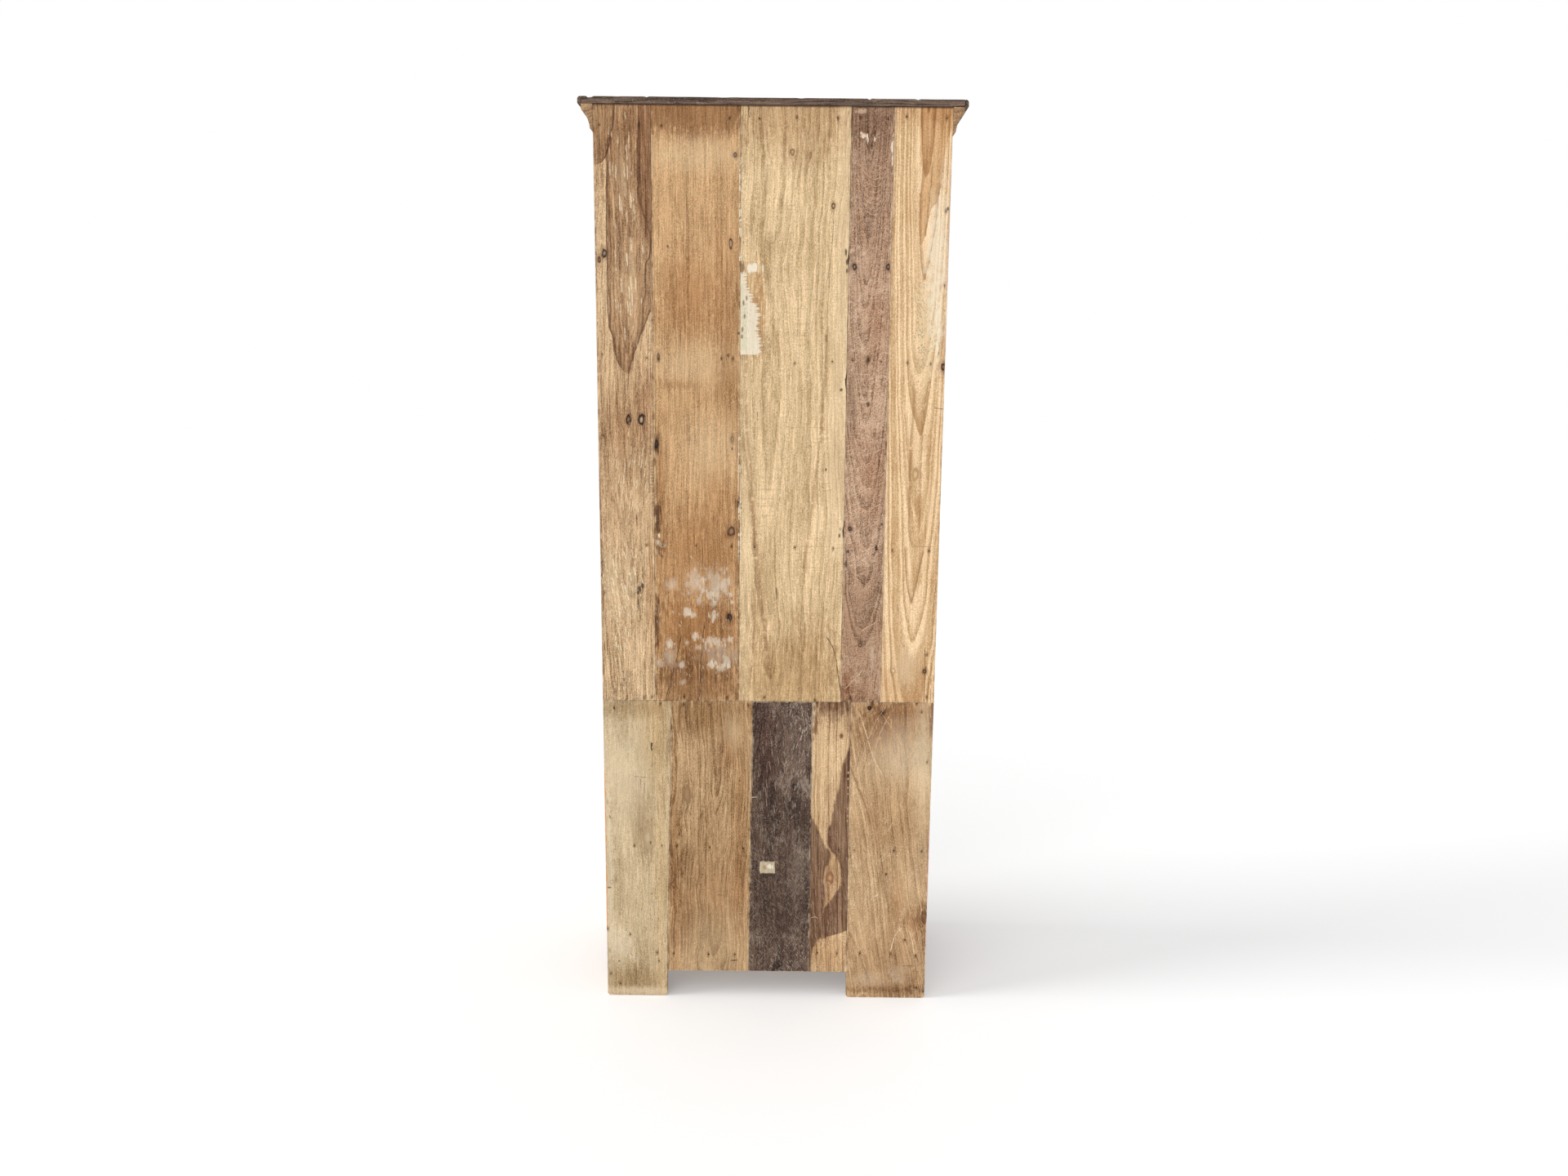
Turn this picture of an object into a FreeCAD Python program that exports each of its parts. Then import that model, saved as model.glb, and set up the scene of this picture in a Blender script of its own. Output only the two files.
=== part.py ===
"""Tall two-door cupboard in old boards, on four feet, with a coved cornice under a board cap.

The floor is Z = 0, the front faces -Y and the boarded back faces +Y. X = 0 is the middle.
Left and right are as seen from the front. All sizes are in millimetres.
"""
import FreeCAD, Part
import math
import os
from types import SimpleNamespace

import Sketcher

SIZES = {
    # The whole cupboard
    "carcase_width": 750,
    "carcase_height": 2000,
    "carcase_depth": 402,
    "cap_overhang": 32,
    "cap_thickness": 15,
    "waist_height": 722.5,
    "bottom_height": 99,
    "foot_height": 64,
    # Boards of the carcase
    "side_thickness": 21,
    "side_tongue": 6,
    "back_thickness": 15,
    "shelf_thickness": 20,
    "housing_depth": 6,
    "rear_rail_thickness": 22,
    "rear_top_rail_height": 60,
    "waist_rail_height": 40,
    "front_foot_width": 62,
    "rear_foot_width": 90,
    "foot_arch_radius": 30,
    # Face frame
    "frame_thickness": 22,
    "frame_stile_width": 56,
    "frame_top_rail_height": 100,
    "frame_tenon_thickness": 8,
    "frame_tenon_length": 25,
    "frame_tenon_shoulder": 15,
    "apron_drop": 30,
    "apron_bracket_width": 45,
    # Cap and cornice
    "nosing_width": 8,
    "nosing_radius": 6.5,
    "cornice_height": 57,
    "cornice_lip": 12,
    "cornice_base": 6.5,
    "cornice_toe": 8,
    "cove_radius": 55,
    # Doors
    "door_thickness": 20,
    "door_gap": 3,
    "door_stile_width": 58,
    "door_top_rail_height": 70,
    "door_cross_rail_height": 64,
    "door_bottom_rail_height": 95,
    "groove_width": 7,
    "groove_depth": 10,
    "tongue_clearance": 0.3,
    "door_tenon_length": 30,
    "door_tenon_shoulder": 12,
    "panel_bevel_width": 26,
    "panel_rise": 5,
    # Hinges
    "leaf_thickness": 1.5,
    "leaf_width": 18,
    "leaf_height": 80,
    "hinge_standoff": 5,
    "knuckle_radius": 4.5,
    "knuckle_clearance": 0.2,
    "pin_radius": 2,
    "pin_clearance": 0.05,
    "pin_overhang": 2,
    # Knobs and turn latch
    "knob_height": 1000,
    "knob_radius": 15,
    "knob_length": 32,
    "knob_rim": 8,
    "knob_neck_radius": 6.5,
    "knob_neck_length": 18,
    "knob_foot_radius": 10,
    "knob_foot_length": 4,
    "spindle_radius": 4,
    "spindle_clearance": 0.05,
    "spindle_end": 4,
    "knob_spigot_length": 12,
    "latch_clearance": 0.5,
    "latch_thickness": 3.5,
    "latch_width": 14,
    "latch_reach": 46,
    # Bolts on the left door
    "bolt_radius": 3,
    "bolt_length": 150,
    "bolt_standoff": 8,
    "bolt_inset": 29,
    "bolt_setback": 2,
    "bolt_clearance": 0.05,
    "bolt_plate_thickness": 2,
    "bolt_plate_width": 22,
    "bolt_guide_width": 14,
    "bolt_guide_length": 12,
    "bolt_guide_wall": 2.5,
    "bolt_handle_length": 14,
    "keeper_clearance": 0.5,
    "keeper_gap": 1.5,
}

# Places along a piece, as shares of its length
UPPER_JOINT_SHARES = (0.1607, 0.4113, 0.718, 0.838)
LOWER_JOINT_TOP_SHARES = (0.2071, 0.4528, 0.6337, 0.7493)
LOWER_JOINT_FOOT_SHARES = (0.1883, 0.4444, 0.6337, 0.7517)
MIDDLE_SHELF_SHARE = 0.2665
UPPER_SHELF_SHARE = 0.5859
LOWER_SHELF_SHARE = 0.4886
SIDE_PLANK_SHARE = 0.52
HINGE_SHARES = (0.07, 0.48, 0.89)
UPPER_CROSS_RAIL_SHARE = 0.65
BOLT_GUIDE_SHARES = (0.04, 0.83)
BOLT_HANDLE_SHARE = 0.5
LATCH_END_SHARE = 0.6
KNUCKLES_PER_HINGE = 2

LEFT, RIGHT = 1, -1
SIDE_NAMES = {LEFT: "left", RIGHT: "right"}
VIEW_PLANES = {"front": "XZ_Plane", "side": "YZ_Plane", "plan": "XY_Plane"}


class Length:
    """A length with its present value and the expression that binds it to the sheet."""

    def __init__(self, value, text):
        self.value = value
        self.text = text

    def __add__(self, other):
        other = as_length(other)
        return Length(self.value + other.value, f"({self.text} + {other.text})")

    def __sub__(self, other):
        other = as_length(other)
        return Length(self.value - other.value, f"({self.text} - {other.text})")

    def __neg__(self):
        return Length(-self.value, f"(-1 * {self.text})")

    def __mul__(self, share):
        return Length(self.value * share, f"({self.text} * {share})")

    def __truediv__(self, count):
        return Length(self.value / count, f"({self.text} / {count})")


def as_length(place):
    """A Length as it is, or zero made into one."""
    return place if isinstance(place, Length) else Length(place, str(place))


doc = FreeCAD.newDocument("Cupboard")
sheet = doc.addObject("Spreadsheet::Sheet", "Sizes")
for row, (name, value) in enumerate(SIZES.items(), start=1):
    sheet.set(f"A{row}", name)
    sheet.set(f"B{row}", str(value))
    sheet.setAlias(f"B{row}", name)
doc.recompute()
size = SimpleNamespace(**{name: Length(value, f"Sizes.{name}") for name, value in SIZES.items()})

# Faces that several pieces share
half_width = size.carcase_width / 2
rear_y = (size.carcase_depth + size.cap_overhang) / 2
front_y = rear_y - size.carcase_depth
frame_back_y = front_y + size.frame_thickness
back_face_y = rear_y - size.back_thickness
inner_half = half_width - size.side_thickness
housed_half = inner_half + size.housing_depth
opening_half = half_width - size.frame_stile_width
opening_bottom = size.bottom_height + size.shelf_thickness
opening_top = size.carcase_height - size.frame_top_rail_height
side_depth = back_face_y - frame_back_y
upper_height = size.carcase_height - size.waist_height

shelf_bottoms = {
    "upper_shelf": size.waist_height + upper_height * UPPER_SHELF_SHARE,
    "middle_shelf": size.waist_height + upper_height * MIDDLE_SHELF_SHARE,
    "waist_shelf": size.waist_height,
    "lower_shelf": size.waist_height * LOWER_SHELF_SHARE,
    "bottom_board": size.bottom_height,
}

hinge_gap = size.leaf_thickness * 2
door_width = (opening_half * 2 - hinge_gap * 2 - size.door_gap) / 2
door_bottom = opening_bottom + size.door_gap
door_height = opening_top - opening_bottom - size.door_gap * 2
door_back_y = front_y + size.door_thickness
groove_front = (size.door_thickness - size.groove_width) / 2
groove_back = groove_front + size.groove_width
panel_opening_width = door_width - size.door_stile_width * 2
overrun = size.cap_overhang


def new_body(label, x=0, y=0, z=0, several=False):
    """An empty body whose own origin stands at (x, y, z); several lets it hold apart solids."""
    body = doc.addObject("PartDesign::Body", label)
    body.Label = label
    body.AllowCompound = several
    for axis, place in (("x", x), ("y", y), ("z", z)):
        body.setExpression(f"Placement.Base.{axis}", as_length(place).text)
    return body


def rectangle(x_low, z_low, x_high, z_high):
    """The four corners of a rectangle."""
    return [(x_low, z_low), (x_high, z_low), (x_high, z_high), (x_low, z_high)]


def circle(x, z, radius):
    """A full circle, which draw takes in place of corners."""
    return (x, z, radius)


def arc_between(start, end, radius, bulge):
    """The arc from start to end that bulges to its left or right, and which end it starts at."""
    run = end - start
    middle = (start + end) / 2
    across = FreeCAD.Vector(-run.y, run.x, 0).normalize()
    rise = math.sqrt(max(radius ** 2 - (run.Length / 2) ** 2, 0))
    centre = middle - across * rise if bulge == "left" else middle + across * rise
    first, last = (end, start) if bulge == "left" else (start, end)
    ring = Part.Circle(centre, FreeCAD.Vector(0, 0, 1), radius)
    angles = [math.atan2(point.y - centre.y, point.x - centre.x) for point in (first, last)]
    return Part.ArcOfCircle(ring, angles[0], angles[1]), (2, 1) if bulge == "left" else (1, 2)


def bind(sketch, kind, geometry, position, place):
    """One bound measure of a sketch: a point's distance from the origin, or a radius."""
    place = as_length(place)
    if kind == "Radius":
        index = sketch.addConstraint(Sketcher.Constraint(kind, geometry, place.value))
    else:
        index = sketch.addConstraint(
            Sketcher.Constraint(kind, -1, 1, geometry, position, place.value))
    sketch.setExpression(f"Constraints[{index}]", place.text)


def draw_circle(sketch, x, y, radius):
    """A circle bound at its centre and radius."""
    centre = FreeCAD.Vector(as_length(x).value, as_length(y).value, 0)
    ring = Part.Circle(centre, FreeCAD.Vector(0, 0, 1), radius.value)
    index = sketch.addGeometry(ring, False)
    bind(sketch, "DistanceX", index, 3, x)
    bind(sketch, "DistanceY", index, 3, y)
    bind(sketch, "Radius", index, 0, radius)


def draw_outline(sketch, corners):
    """A closed outline; a corner may add (radius, bulge) to make the edge after it an arc."""
    points = [FreeCAD.Vector(as_length(c[0]).value, as_length(c[1]).value, 0) for c in corners]
    edges = []
    for index, corner in enumerate(corners):
        start = points[index]
        end = points[(index + 1) % len(points)]
        ends = (1, 2)
        if len(corner) > 2:
            edge, ends = arc_between(start, end, corner[2].value, corner[3])
        else:
            edge = Part.LineSegment(start, end)
        edges.append((sketch.addGeometry(edge, False), ends))
    for index, (edge, ends) in enumerate(edges):
        following, following_ends = edges[(index + 1) % len(edges)]
        sketch.addConstraint(
            Sketcher.Constraint("Coincident", edge, ends[1], following, following_ends[0]))
        corner = corners[index]
        bind(sketch, "DistanceX", edge, ends[0], corner[0])
        bind(sketch, "DistanceY", edge, ends[0], corner[1])
        if len(corner) > 2:
            bind(sketch, "Radius", edge, 0, corner[2])


def draw(body, view, outlines, plane_place):
    """A sketch of the outlines on one of the body's own planes, moved out to plane_place."""
    sketch = body.newObject("Sketcher::SketchObject", f"{body.Label}_{view}")
    plane = next(f for f in body.Origin.OriginFeatures if f.Role == VIEW_PLANES[view])
    sketch.AttachmentSupport = [(plane, "")]
    sketch.MapMode = "FlatFace"
    offset = -as_length(plane_place) if view == "front" else as_length(plane_place)
    sketch.setExpression("AttachmentOffset.Base.z", offset.text)
    for outline in outlines:
        if isinstance(outline, tuple):
            draw_circle(sketch, *outline)
        else:
            draw_outline(sketch, outline)
    return sketch


def extrude(body, view, outlines, low, high, cut=False):
    """The outlines run square to their view from low to high, added to the body or cut from it."""
    low, high = sorted((as_length(low), as_length(high)), key=lambda place: place.value)
    sketch = draw(body, view, outlines, high if view == "front" else low)
    kind = "Pocket" if cut else "Pad"
    feature = body.newObject(f"PartDesign::{kind}", f"{body.Label}_{kind}")
    feature.Profile = sketch
    feature.Reversed = cut
    feature.setExpression("Length", (high - low).text)
    return feature


def turn(body, outlines, axis):
    """The outlines, drawn in the side view, turned about the sketch's own axis."""
    sketch = draw(body, "side", outlines, 0)
    feature = body.newObject("PartDesign::Revolution", f"{body.Label}_Revolution")
    feature.Profile = sketch
    feature.ReferenceAxis = (sketch, [axis])
    feature.Angle = math.degrees(math.tau)
    return feature


def board(label, x_low, x_high, y_low, y_high, z_low, z_high):
    """A plain square board, drawn from the front."""
    body = new_body(label, x_low, y_low, z_low)
    outline = rectangle(0, 0, x_high - x_low, z_high - z_low)
    extrude(body, "front", [outline], 0, y_high - y_low)
    return body


# Sides: two planks each, tongued together, housed for the shelves, with arched feet
def side_housings(depth):
    """Grooves on the inner face that take the ends of the shelves."""
    return [rectangle(0, low, depth, low + size.shelf_thickness) for low in shelf_bottoms.values()]


def side_front_plank(hand):
    """The front plank stands on the front foot and is grooved along its rear edge."""
    name = SIDE_NAMES[hand]
    body = new_body(f"{name}_side_front_plank", -inner_half * hand, frame_back_y)
    depth = side_depth * SIDE_PLANK_SHARE
    arch = size.foot_arch_radius
    outline = [
        (0, 0),
        (size.front_foot_width, 0),
        (size.front_foot_width, size.foot_height - arch, arch, "left"),
        (size.front_foot_width + arch, size.foot_height),
        (depth, size.foot_height),
        (depth, size.carcase_height),
        (0, size.carcase_height),
    ]
    extrude(body, "side", [outline], 0, -size.side_thickness * hand)
    tongue = rectangle(depth - size.side_tongue, 0, depth, size.carcase_height)
    groove_low = (size.side_thickness - size.side_tongue) / 2
    extrude(body, "side", [tongue], -groove_low * hand,
            -(groove_low + size.side_tongue) * hand, cut=True)
    extrude(body, "side", side_housings(depth), 0, -size.housing_depth * hand, cut=True)


def side_rear_plank(hand):
    """The rear plank stands on the rear foot and has the tongue along its front edge."""
    name = SIDE_NAMES[hand]
    depth = side_depth * (1 - SIDE_PLANK_SHARE)
    body = new_body(f"{name}_side_rear_plank", -inner_half * hand, back_face_y - depth)
    arch = size.foot_arch_radius
    foot = depth - size.rear_foot_width
    outline = [
        (0, size.foot_height),
        (foot - arch, size.foot_height, arch, "left"),
        (foot, size.foot_height - arch),
        (foot, 0),
        (depth, 0),
        (depth, size.carcase_height),
        (0, size.carcase_height),
    ]
    extrude(body, "side", [outline], 0, -size.side_thickness * hand)
    tongue = rectangle(-size.side_tongue, size.foot_height, 0, size.carcase_height)
    tongue_low = (size.side_thickness - size.side_tongue) / 2
    extrude(body, "side", [tongue], -tongue_low * hand, -(tongue_low + size.side_tongue) * hand)
    extrude(body, "side", side_housings(depth), 0, -size.housing_depth * hand, cut=True)


for hand in (LEFT, RIGHT):
    side_front_plank(hand)
    side_rear_plank(hand)


# Shelves and the bottom board, housed in the sides
def bottom_bolt_hole(body):
    """The hole in the bottom board that takes the left door's bottom bolt."""
    x = housed_half - size.door_gap / 2 - size.bolt_inset
    y = door_back_y + size.bolt_standoff - frame_back_y
    hole = circle(x, y, size.bolt_radius + size.keeper_clearance)
    extrude(body, "plan", [hole], 0, size.shelf_thickness, cut=True)


for label, shelf_bottom in shelf_bottoms.items():
    shelf = board(label, -housed_half, housed_half, frame_back_y, back_face_y,
                  shelf_bottom, shelf_bottom + size.shelf_thickness)
    if label == "bottom_board":
        bottom_bolt_hole(shelf)

rear_rail_front_y = back_face_y - size.rear_rail_thickness
board("rear_top_rail", -inner_half, inner_half, rear_rail_front_y, back_face_y,
      size.carcase_height - size.rear_top_rail_height, size.carcase_height)
board("waist_rail", -inner_half, inner_half, rear_rail_front_y, back_face_y,
      size.waist_height - size.waist_rail_height, size.waist_height)


# Back boards: upper and lower rows of unequal, slightly tapered boards that meet at the waist
def joint_places(shares):
    """Places of a row's joints, from the right edge of the back, with both of its ends."""
    return [-(size.carcase_width * share) for share in (0, *shares, 1)]


def back_row(name, bottom_shares, top_shares, bottom, top, feet):
    """One row of back boards; its outer two run down by feet to make the rear feet."""
    lows = joint_places(bottom_shares)
    highs = joint_places(top_shares)
    count = len(lows) - 1
    for index in range(count):
        body = new_body(f"{name}_{index + 1}", half_width, back_face_y, bottom)
        outline = [(lows[index + 1], 0), (highs[index + 1], top - bottom),
                   (highs[index], top - bottom), (lows[index], 0)]
        if feet and index in (0, count - 1):
            outline += [(lows[index], -feet), (lows[index + 1], -feet)]
        extrude(body, "front", [outline], 0, size.back_thickness)


back_row("back_upper_board", UPPER_JOINT_SHARES, UPPER_JOINT_SHARES,
         size.waist_height, size.carcase_height, None)
back_row("back_lower_board", LOWER_JOINT_FOOT_SHARES, LOWER_JOINT_TOP_SHARES,
         size.foot_height, size.waist_height, size.foot_height)


# Face frame: stiles to the floor, with the top rail and the shaped apron tenoned into them
apron_bottom = size.foot_height - size.apron_drop
tenon_front = (size.frame_thickness - size.frame_tenon_thickness) / 2
tenon_back = tenon_front + size.frame_tenon_thickness


def frame_tenons(bottom, top):
    """Heights of a rail's tenons between their shoulders."""
    return bottom + size.frame_tenon_shoulder, top - size.frame_tenon_shoulder


def frame_stile(hand):
    """A stile of the face frame, mortised on its inner edge."""
    body = new_body(f"{SIDE_NAMES[hand]}_frame_stile", -half_width * hand, front_y)
    stile = rectangle(0, 0, size.frame_stile_width * hand, size.carcase_height)
    extrude(body, "front", [stile], 0, size.frame_thickness)
    mortises = []
    for bottom, top in ((apron_bottom, opening_bottom), (opening_top, size.carcase_height)):
        low, high = frame_tenons(bottom, top)
        mortises.append(rectangle((size.frame_stile_width - size.frame_tenon_length) * hand, low,
                                  size.frame_stile_width * hand, high))
    extrude(body, "front", mortises, tenon_front, tenon_back, cut=True)


def frame_rail(label, outline, bottom, top):
    """A rail of the face frame with its outline from the front, and a tenon at each end."""
    body = new_body(label, -opening_half, front_y, bottom)
    extrude(body, "front", [outline], 0, size.frame_thickness)
    low, high = frame_tenons(bottom, top)
    width = opening_half * 2
    tenons = [rectangle(-size.frame_tenon_length, low - bottom, 0, high - bottom),
              rectangle(width, low - bottom, width + size.frame_tenon_length, high - bottom)]
    extrude(body, "front", tenons, tenon_front, tenon_back)


def apron_outline():
    """A straight apron that drops to a bracket beside each stile in an S curve."""
    curve = size.apron_drop / 2
    left = size.apron_bracket_width
    right = opening_half * 2 - left
    height = opening_bottom - apron_bottom
    return [
        (0, 0),
        (left, 0, curve, "right"),
        (left + curve, curve, curve, "left"),
        (left + curve * 2, size.apron_drop),
        (right - curve * 2, size.apron_drop, curve, "left"),
        (right - curve, curve, curve, "right"),
        (right, 0),
        (opening_half * 2, 0),
        (opening_half * 2, height),
        (0, height),
    ]


for hand in (LEFT, RIGHT):
    frame_stile(hand)
frame_rail("front_top_rail", rectangle(0, 0, opening_half * 2, size.frame_top_rail_height),
           opening_top, size.carcase_height)
frame_rail("front_apron", apron_outline(), apron_bottom, opening_bottom)

# Cap board with a rounded front edge, and a rounded nosing over each of its ends
cap_front_y = front_y - size.cap_overhang
cap_half = half_width + size.cap_overhang - size.nosing_width
cap_body = new_body("cap_board", -cap_half, cap_front_y, size.carcase_height)
cap_section = [
    (0, 0),
    (rear_y - cap_front_y, 0),
    (rear_y - cap_front_y, size.cap_thickness),
    (size.nosing_radius, size.cap_thickness, size.nosing_radius, "left"),
    (0, size.cap_thickness - size.nosing_radius),
]
extrude(cap_body, "side", [cap_section], 0, cap_half * 2)

nosings = new_body("cap_end_nosings", 0, cap_front_y, size.carcase_height, several=True)
nosing_sections = []
for hand, bulge in ((LEFT, "right"), (RIGHT, "left")):
    inner = cap_half * hand
    outer = (cap_half + size.nosing_width) * hand
    rounded = (cap_half + size.nosing_width - size.nosing_radius) * hand
    nosing_sections.append([
        (inner, 0),
        (outer, 0),
        (outer, size.cap_thickness - size.nosing_radius, size.nosing_radius, bulge),
        (rounded, size.cap_thickness),
        (inner, size.cap_thickness),
    ])
extrude(nosings, "front", nosing_sections, 0, rear_y - cap_front_y)


# Cornice: one coved section in three lengths, mitred at the front corners
cornice_projection = size.cap_overhang - size.nosing_width


def cornice_section(outward, bulge):
    """The section from the carcase's face outwards, under the cap."""
    return [
        (0, 0),
        (cornice_projection * outward, 0),
        (cornice_projection * outward, -size.cornice_lip, size.cove_radius, bulge),
        (size.cornice_base * outward, size.cornice_toe - size.cornice_height),
        (0, -size.cornice_height),
    ]


def mitre(outward):
    """The waste beyond a front corner, seen from above, on the side's part of the mitre."""
    reach = cornice_projection + overrun
    return [(-overrun * outward, overrun), (-overrun * outward, -reach), (reach * outward, -reach)]


for hand in (LEFT, RIGHT):
    outward = -hand
    body = new_body(f"{SIDE_NAMES[hand]}_cornice", half_width * outward, front_y,
                    size.carcase_height)
    section = cornice_section(outward, "right" if outward > 0 else "left")
    extrude(body, "front", [section], -cornice_projection, size.carcase_depth)
    extrude(body, "plan", [mitre(outward)], -size.cornice_height, 0, cut=True)

front_cornice = new_body("front_cornice", 0, front_y, size.carcase_height)
cornice_half = half_width + cornice_projection
extrude(front_cornice, "side", [cornice_section(-1, "left")], -cornice_half, cornice_half)
mitre_waste = []
for outward in (-1, 1):
    corner = half_width * outward
    reach = (cornice_projection + overrun) * outward
    mitre_waste.append([(corner - overrun * outward, overrun), (corner + reach, overrun),
                        (corner + reach, -(cornice_projection + overrun))])
extrude(front_cornice, "plan", mitre_waste, -size.cornice_height, 0, cut=True)

# Doors: framed with tenons, with three raised panels in grooves and a rail that hides the waist
waist_middle = size.waist_height + size.shelf_thickness / 2
waist_rail_place = waist_middle - size.door_cross_rail_height / 2 - door_bottom
rail_places = {
    "bottom_rail": (as_length(0), size.door_bottom_rail_height),
    "lower_cross_rail": (waist_rail_place, size.door_cross_rail_height),
    "upper_cross_rail": (door_height * UPPER_CROSS_RAIL_SHARE, size.door_cross_rail_height),
    "top_rail": (door_height - size.door_top_rail_height, size.door_top_rail_height),
}
panel_names = ("bottom_panel", "middle_panel", "top_panel")


def door_hinge_x(hand):
    """The door's hinge edge."""
    return -(opening_half - hinge_gap) * hand


def door_stile(hand, label, inner_edge, outer_edge):
    """A door stile, grooved for the panels and mortised for the rails on its inner edge."""
    body = new_body(f"{SIDE_NAMES[hand]}_{label}", door_hinge_x(hand), front_y, door_bottom)
    blank = rectangle(outer_edge * hand, 0, inner_edge * hand, door_height)
    extrude(body, "front", [blank], 0, size.door_thickness)
    inward = 1 if outer_edge.value > inner_edge.value else -1
    groove = rectangle(inner_edge * hand, 0,
                       (inner_edge + size.groove_depth * inward) * hand, door_height)
    extrude(body, "front", [groove], groove_front, groove_back, cut=True)
    mortises = []
    for bottom, height in rail_places.values():
        mortises.append(rectangle((inner_edge + size.groove_depth * inward) * hand,
                                  bottom + size.door_tenon_shoulder,
                                  (inner_edge + size.door_tenon_length * inward) * hand,
                                  bottom + height - size.door_tenon_shoulder))
    extrude(body, "front", mortises, groove_front, groove_back, cut=True)
    return body


def door_rail(hand, label, bottom, height):
    """A door rail with its haunched tenons, grooved where it meets a panel."""
    body = new_body(f"{SIDE_NAMES[hand]}_{label}",
                    door_hinge_x(hand) + size.door_stile_width * hand, front_y,
                    door_bottom + bottom)
    width = panel_opening_width * hand
    haunch = size.groove_depth * hand
    tenon = size.door_tenon_length * hand
    grooves = []
    haunch_bottom = 0
    haunch_top = height
    if label != "bottom_rail":
        haunch_bottom = size.groove_depth
        grooves.append(rectangle(0, 0, width, haunch_bottom))
    if label != "top_rail":
        haunch_top = height - size.groove_depth
        grooves.append(rectangle(0, haunch_top, width, height))
    extrude(body, "front", [rectangle(0, 0, width, height)], 0, size.door_thickness)
    extrude(body, "front", [rectangle(-haunch, haunch_bottom, width + haunch, haunch_top)],
            groove_front, groove_back)
    tenons = rectangle(-tenon, size.door_tenon_shoulder, width + tenon,
                       height - size.door_tenon_shoulder)
    extrude(body, "front", [tenons], groove_front, groove_back)
    extrude(body, "front", grooves, groove_front, groove_back, cut=True)


def door_panel(hand, label, bottom, height):
    """A raised panel: a thin tongue all round, and a field with a wide bevel on the front."""
    reach = size.groove_depth - size.tongue_clearance
    body = new_body(f"{SIDE_NAMES[hand]}_{label}",
                    door_hinge_x(hand) + door_width / 2 * hand, front_y, door_bottom + bottom)
    half = panel_opening_width / 2
    tongue_front = groove_front + size.tongue_clearance
    tongue = rectangle(-(half + reach), -reach, half + reach, height + reach)
    extrude(body, "front", [tongue], tongue_front, groove_back - size.tongue_clearance)
    bevel = size.panel_bevel_width
    field = body.newObject("PartDesign::AdditiveWedge", f"{body.Label}_Wedge")
    faces = {
        "Xmin": bevel - half, "Xmax": half - bevel, "Zmin": bevel, "Zmax": height - bevel,
        "X2min": -half, "X2max": half, "Z2min": as_length(0), "Z2max": height,
        "Ymin": tongue_front - size.panel_rise, "Ymax": tongue_front,
    }
    for name, place in faces.items():
        setattr(field, name, place.value)
        field.setExpression(name, place.text)


def spindle_hole(hand, stile, back):
    """The hole through a meeting stile for a knob."""
    x = (door_width - size.door_stile_width / 2) * hand
    radius = size.spindle_radius + size.spindle_clearance
    z = size.knob_height - door_bottom
    extrude(stile, "front", [circle(x, z, radius)], 0, back, cut=True)


for hand in (LEFT, RIGHT):
    door_stile(hand, "hinge_stile", size.door_stile_width, as_length(0))
    meeting = door_stile(hand, "meeting_stile", door_width - size.door_stile_width, door_width)
    spindle_hole(hand, meeting, size.knob_spigot_length if hand == LEFT else size.door_thickness)
    for label, (bottom, height) in rail_places.items():
        door_rail(hand, label, bottom, height)
    spans = list(rail_places.values())
    for label, below, above in zip(panel_names, spans, spans[1:]):
        panel_bottom = below[0] + below[1]
        door_panel(hand, label, panel_bottom, above[0] - panel_bottom)

# Lift-off hinges: three a door, the frame's knuckle below the door's, with pins through both
knuckle_pitch = size.leaf_height / KNUCKLES_PER_HINGE
bore_radius = size.pin_radius + size.pin_clearance


def hinge_bottoms():
    """Heights of the hinges above the door's bottom edge."""
    return [door_height * share for share in HINGE_SHARES]


def hinge_leaves(hand, label, side, own_knuckles):
    """The leaves of one side's hinges, on the frame or on the door, with their knuckles."""
    body = new_body(f"{SIDE_NAMES[hand]}_{label}", -(opening_half - size.leaf_thickness) * hand,
                    front_y - size.hinge_standoff, door_bottom, several=True)
    plates = []
    fingers = []
    knuckles = []
    for bottom in hinge_bottoms():
        plates.append(rectangle(size.hinge_standoff, bottom,
                                size.hinge_standoff + size.leaf_width,
                                bottom + size.leaf_height))
        for index in own_knuckles:
            low = bottom + knuckle_pitch * index + size.knuckle_clearance / 2
            high = bottom + knuckle_pitch * (index + 1) - size.knuckle_clearance / 2
            fingers.append(rectangle(size.pin_radius + size.leaf_thickness, low,
                                     size.hinge_standoff, high))
            knuckles.append(rectangle(bore_radius, low, size.knuckle_radius, high))
    thickness = size.leaf_thickness * hand * side
    extrude(body, "side", plates, 0, thickness)
    extrude(body, "side", fingers, 0, thickness)
    turn(body, knuckles, "V_Axis")


for hand in (LEFT, RIGHT):
    hinge_leaves(hand, "frame_hinge_leaves", -1, range(0, KNUCKLES_PER_HINGE, 2))
    hinge_leaves(hand, "door_hinge_leaves", 1, range(1, KNUCKLES_PER_HINGE, 2))

pins = new_body("hinge_pins", 0, front_y - size.hinge_standoff, door_bottom, several=True)
pin_circles = [circle((opening_half - size.leaf_thickness) * hand, 0, size.pin_radius)
               for hand in (LEFT, RIGHT)]
for bottom in hinge_bottoms():
    extrude(pins, "plan", pin_circles, bottom - size.pin_overhang,
            bottom + size.leaf_height + size.pin_overhang)


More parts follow.
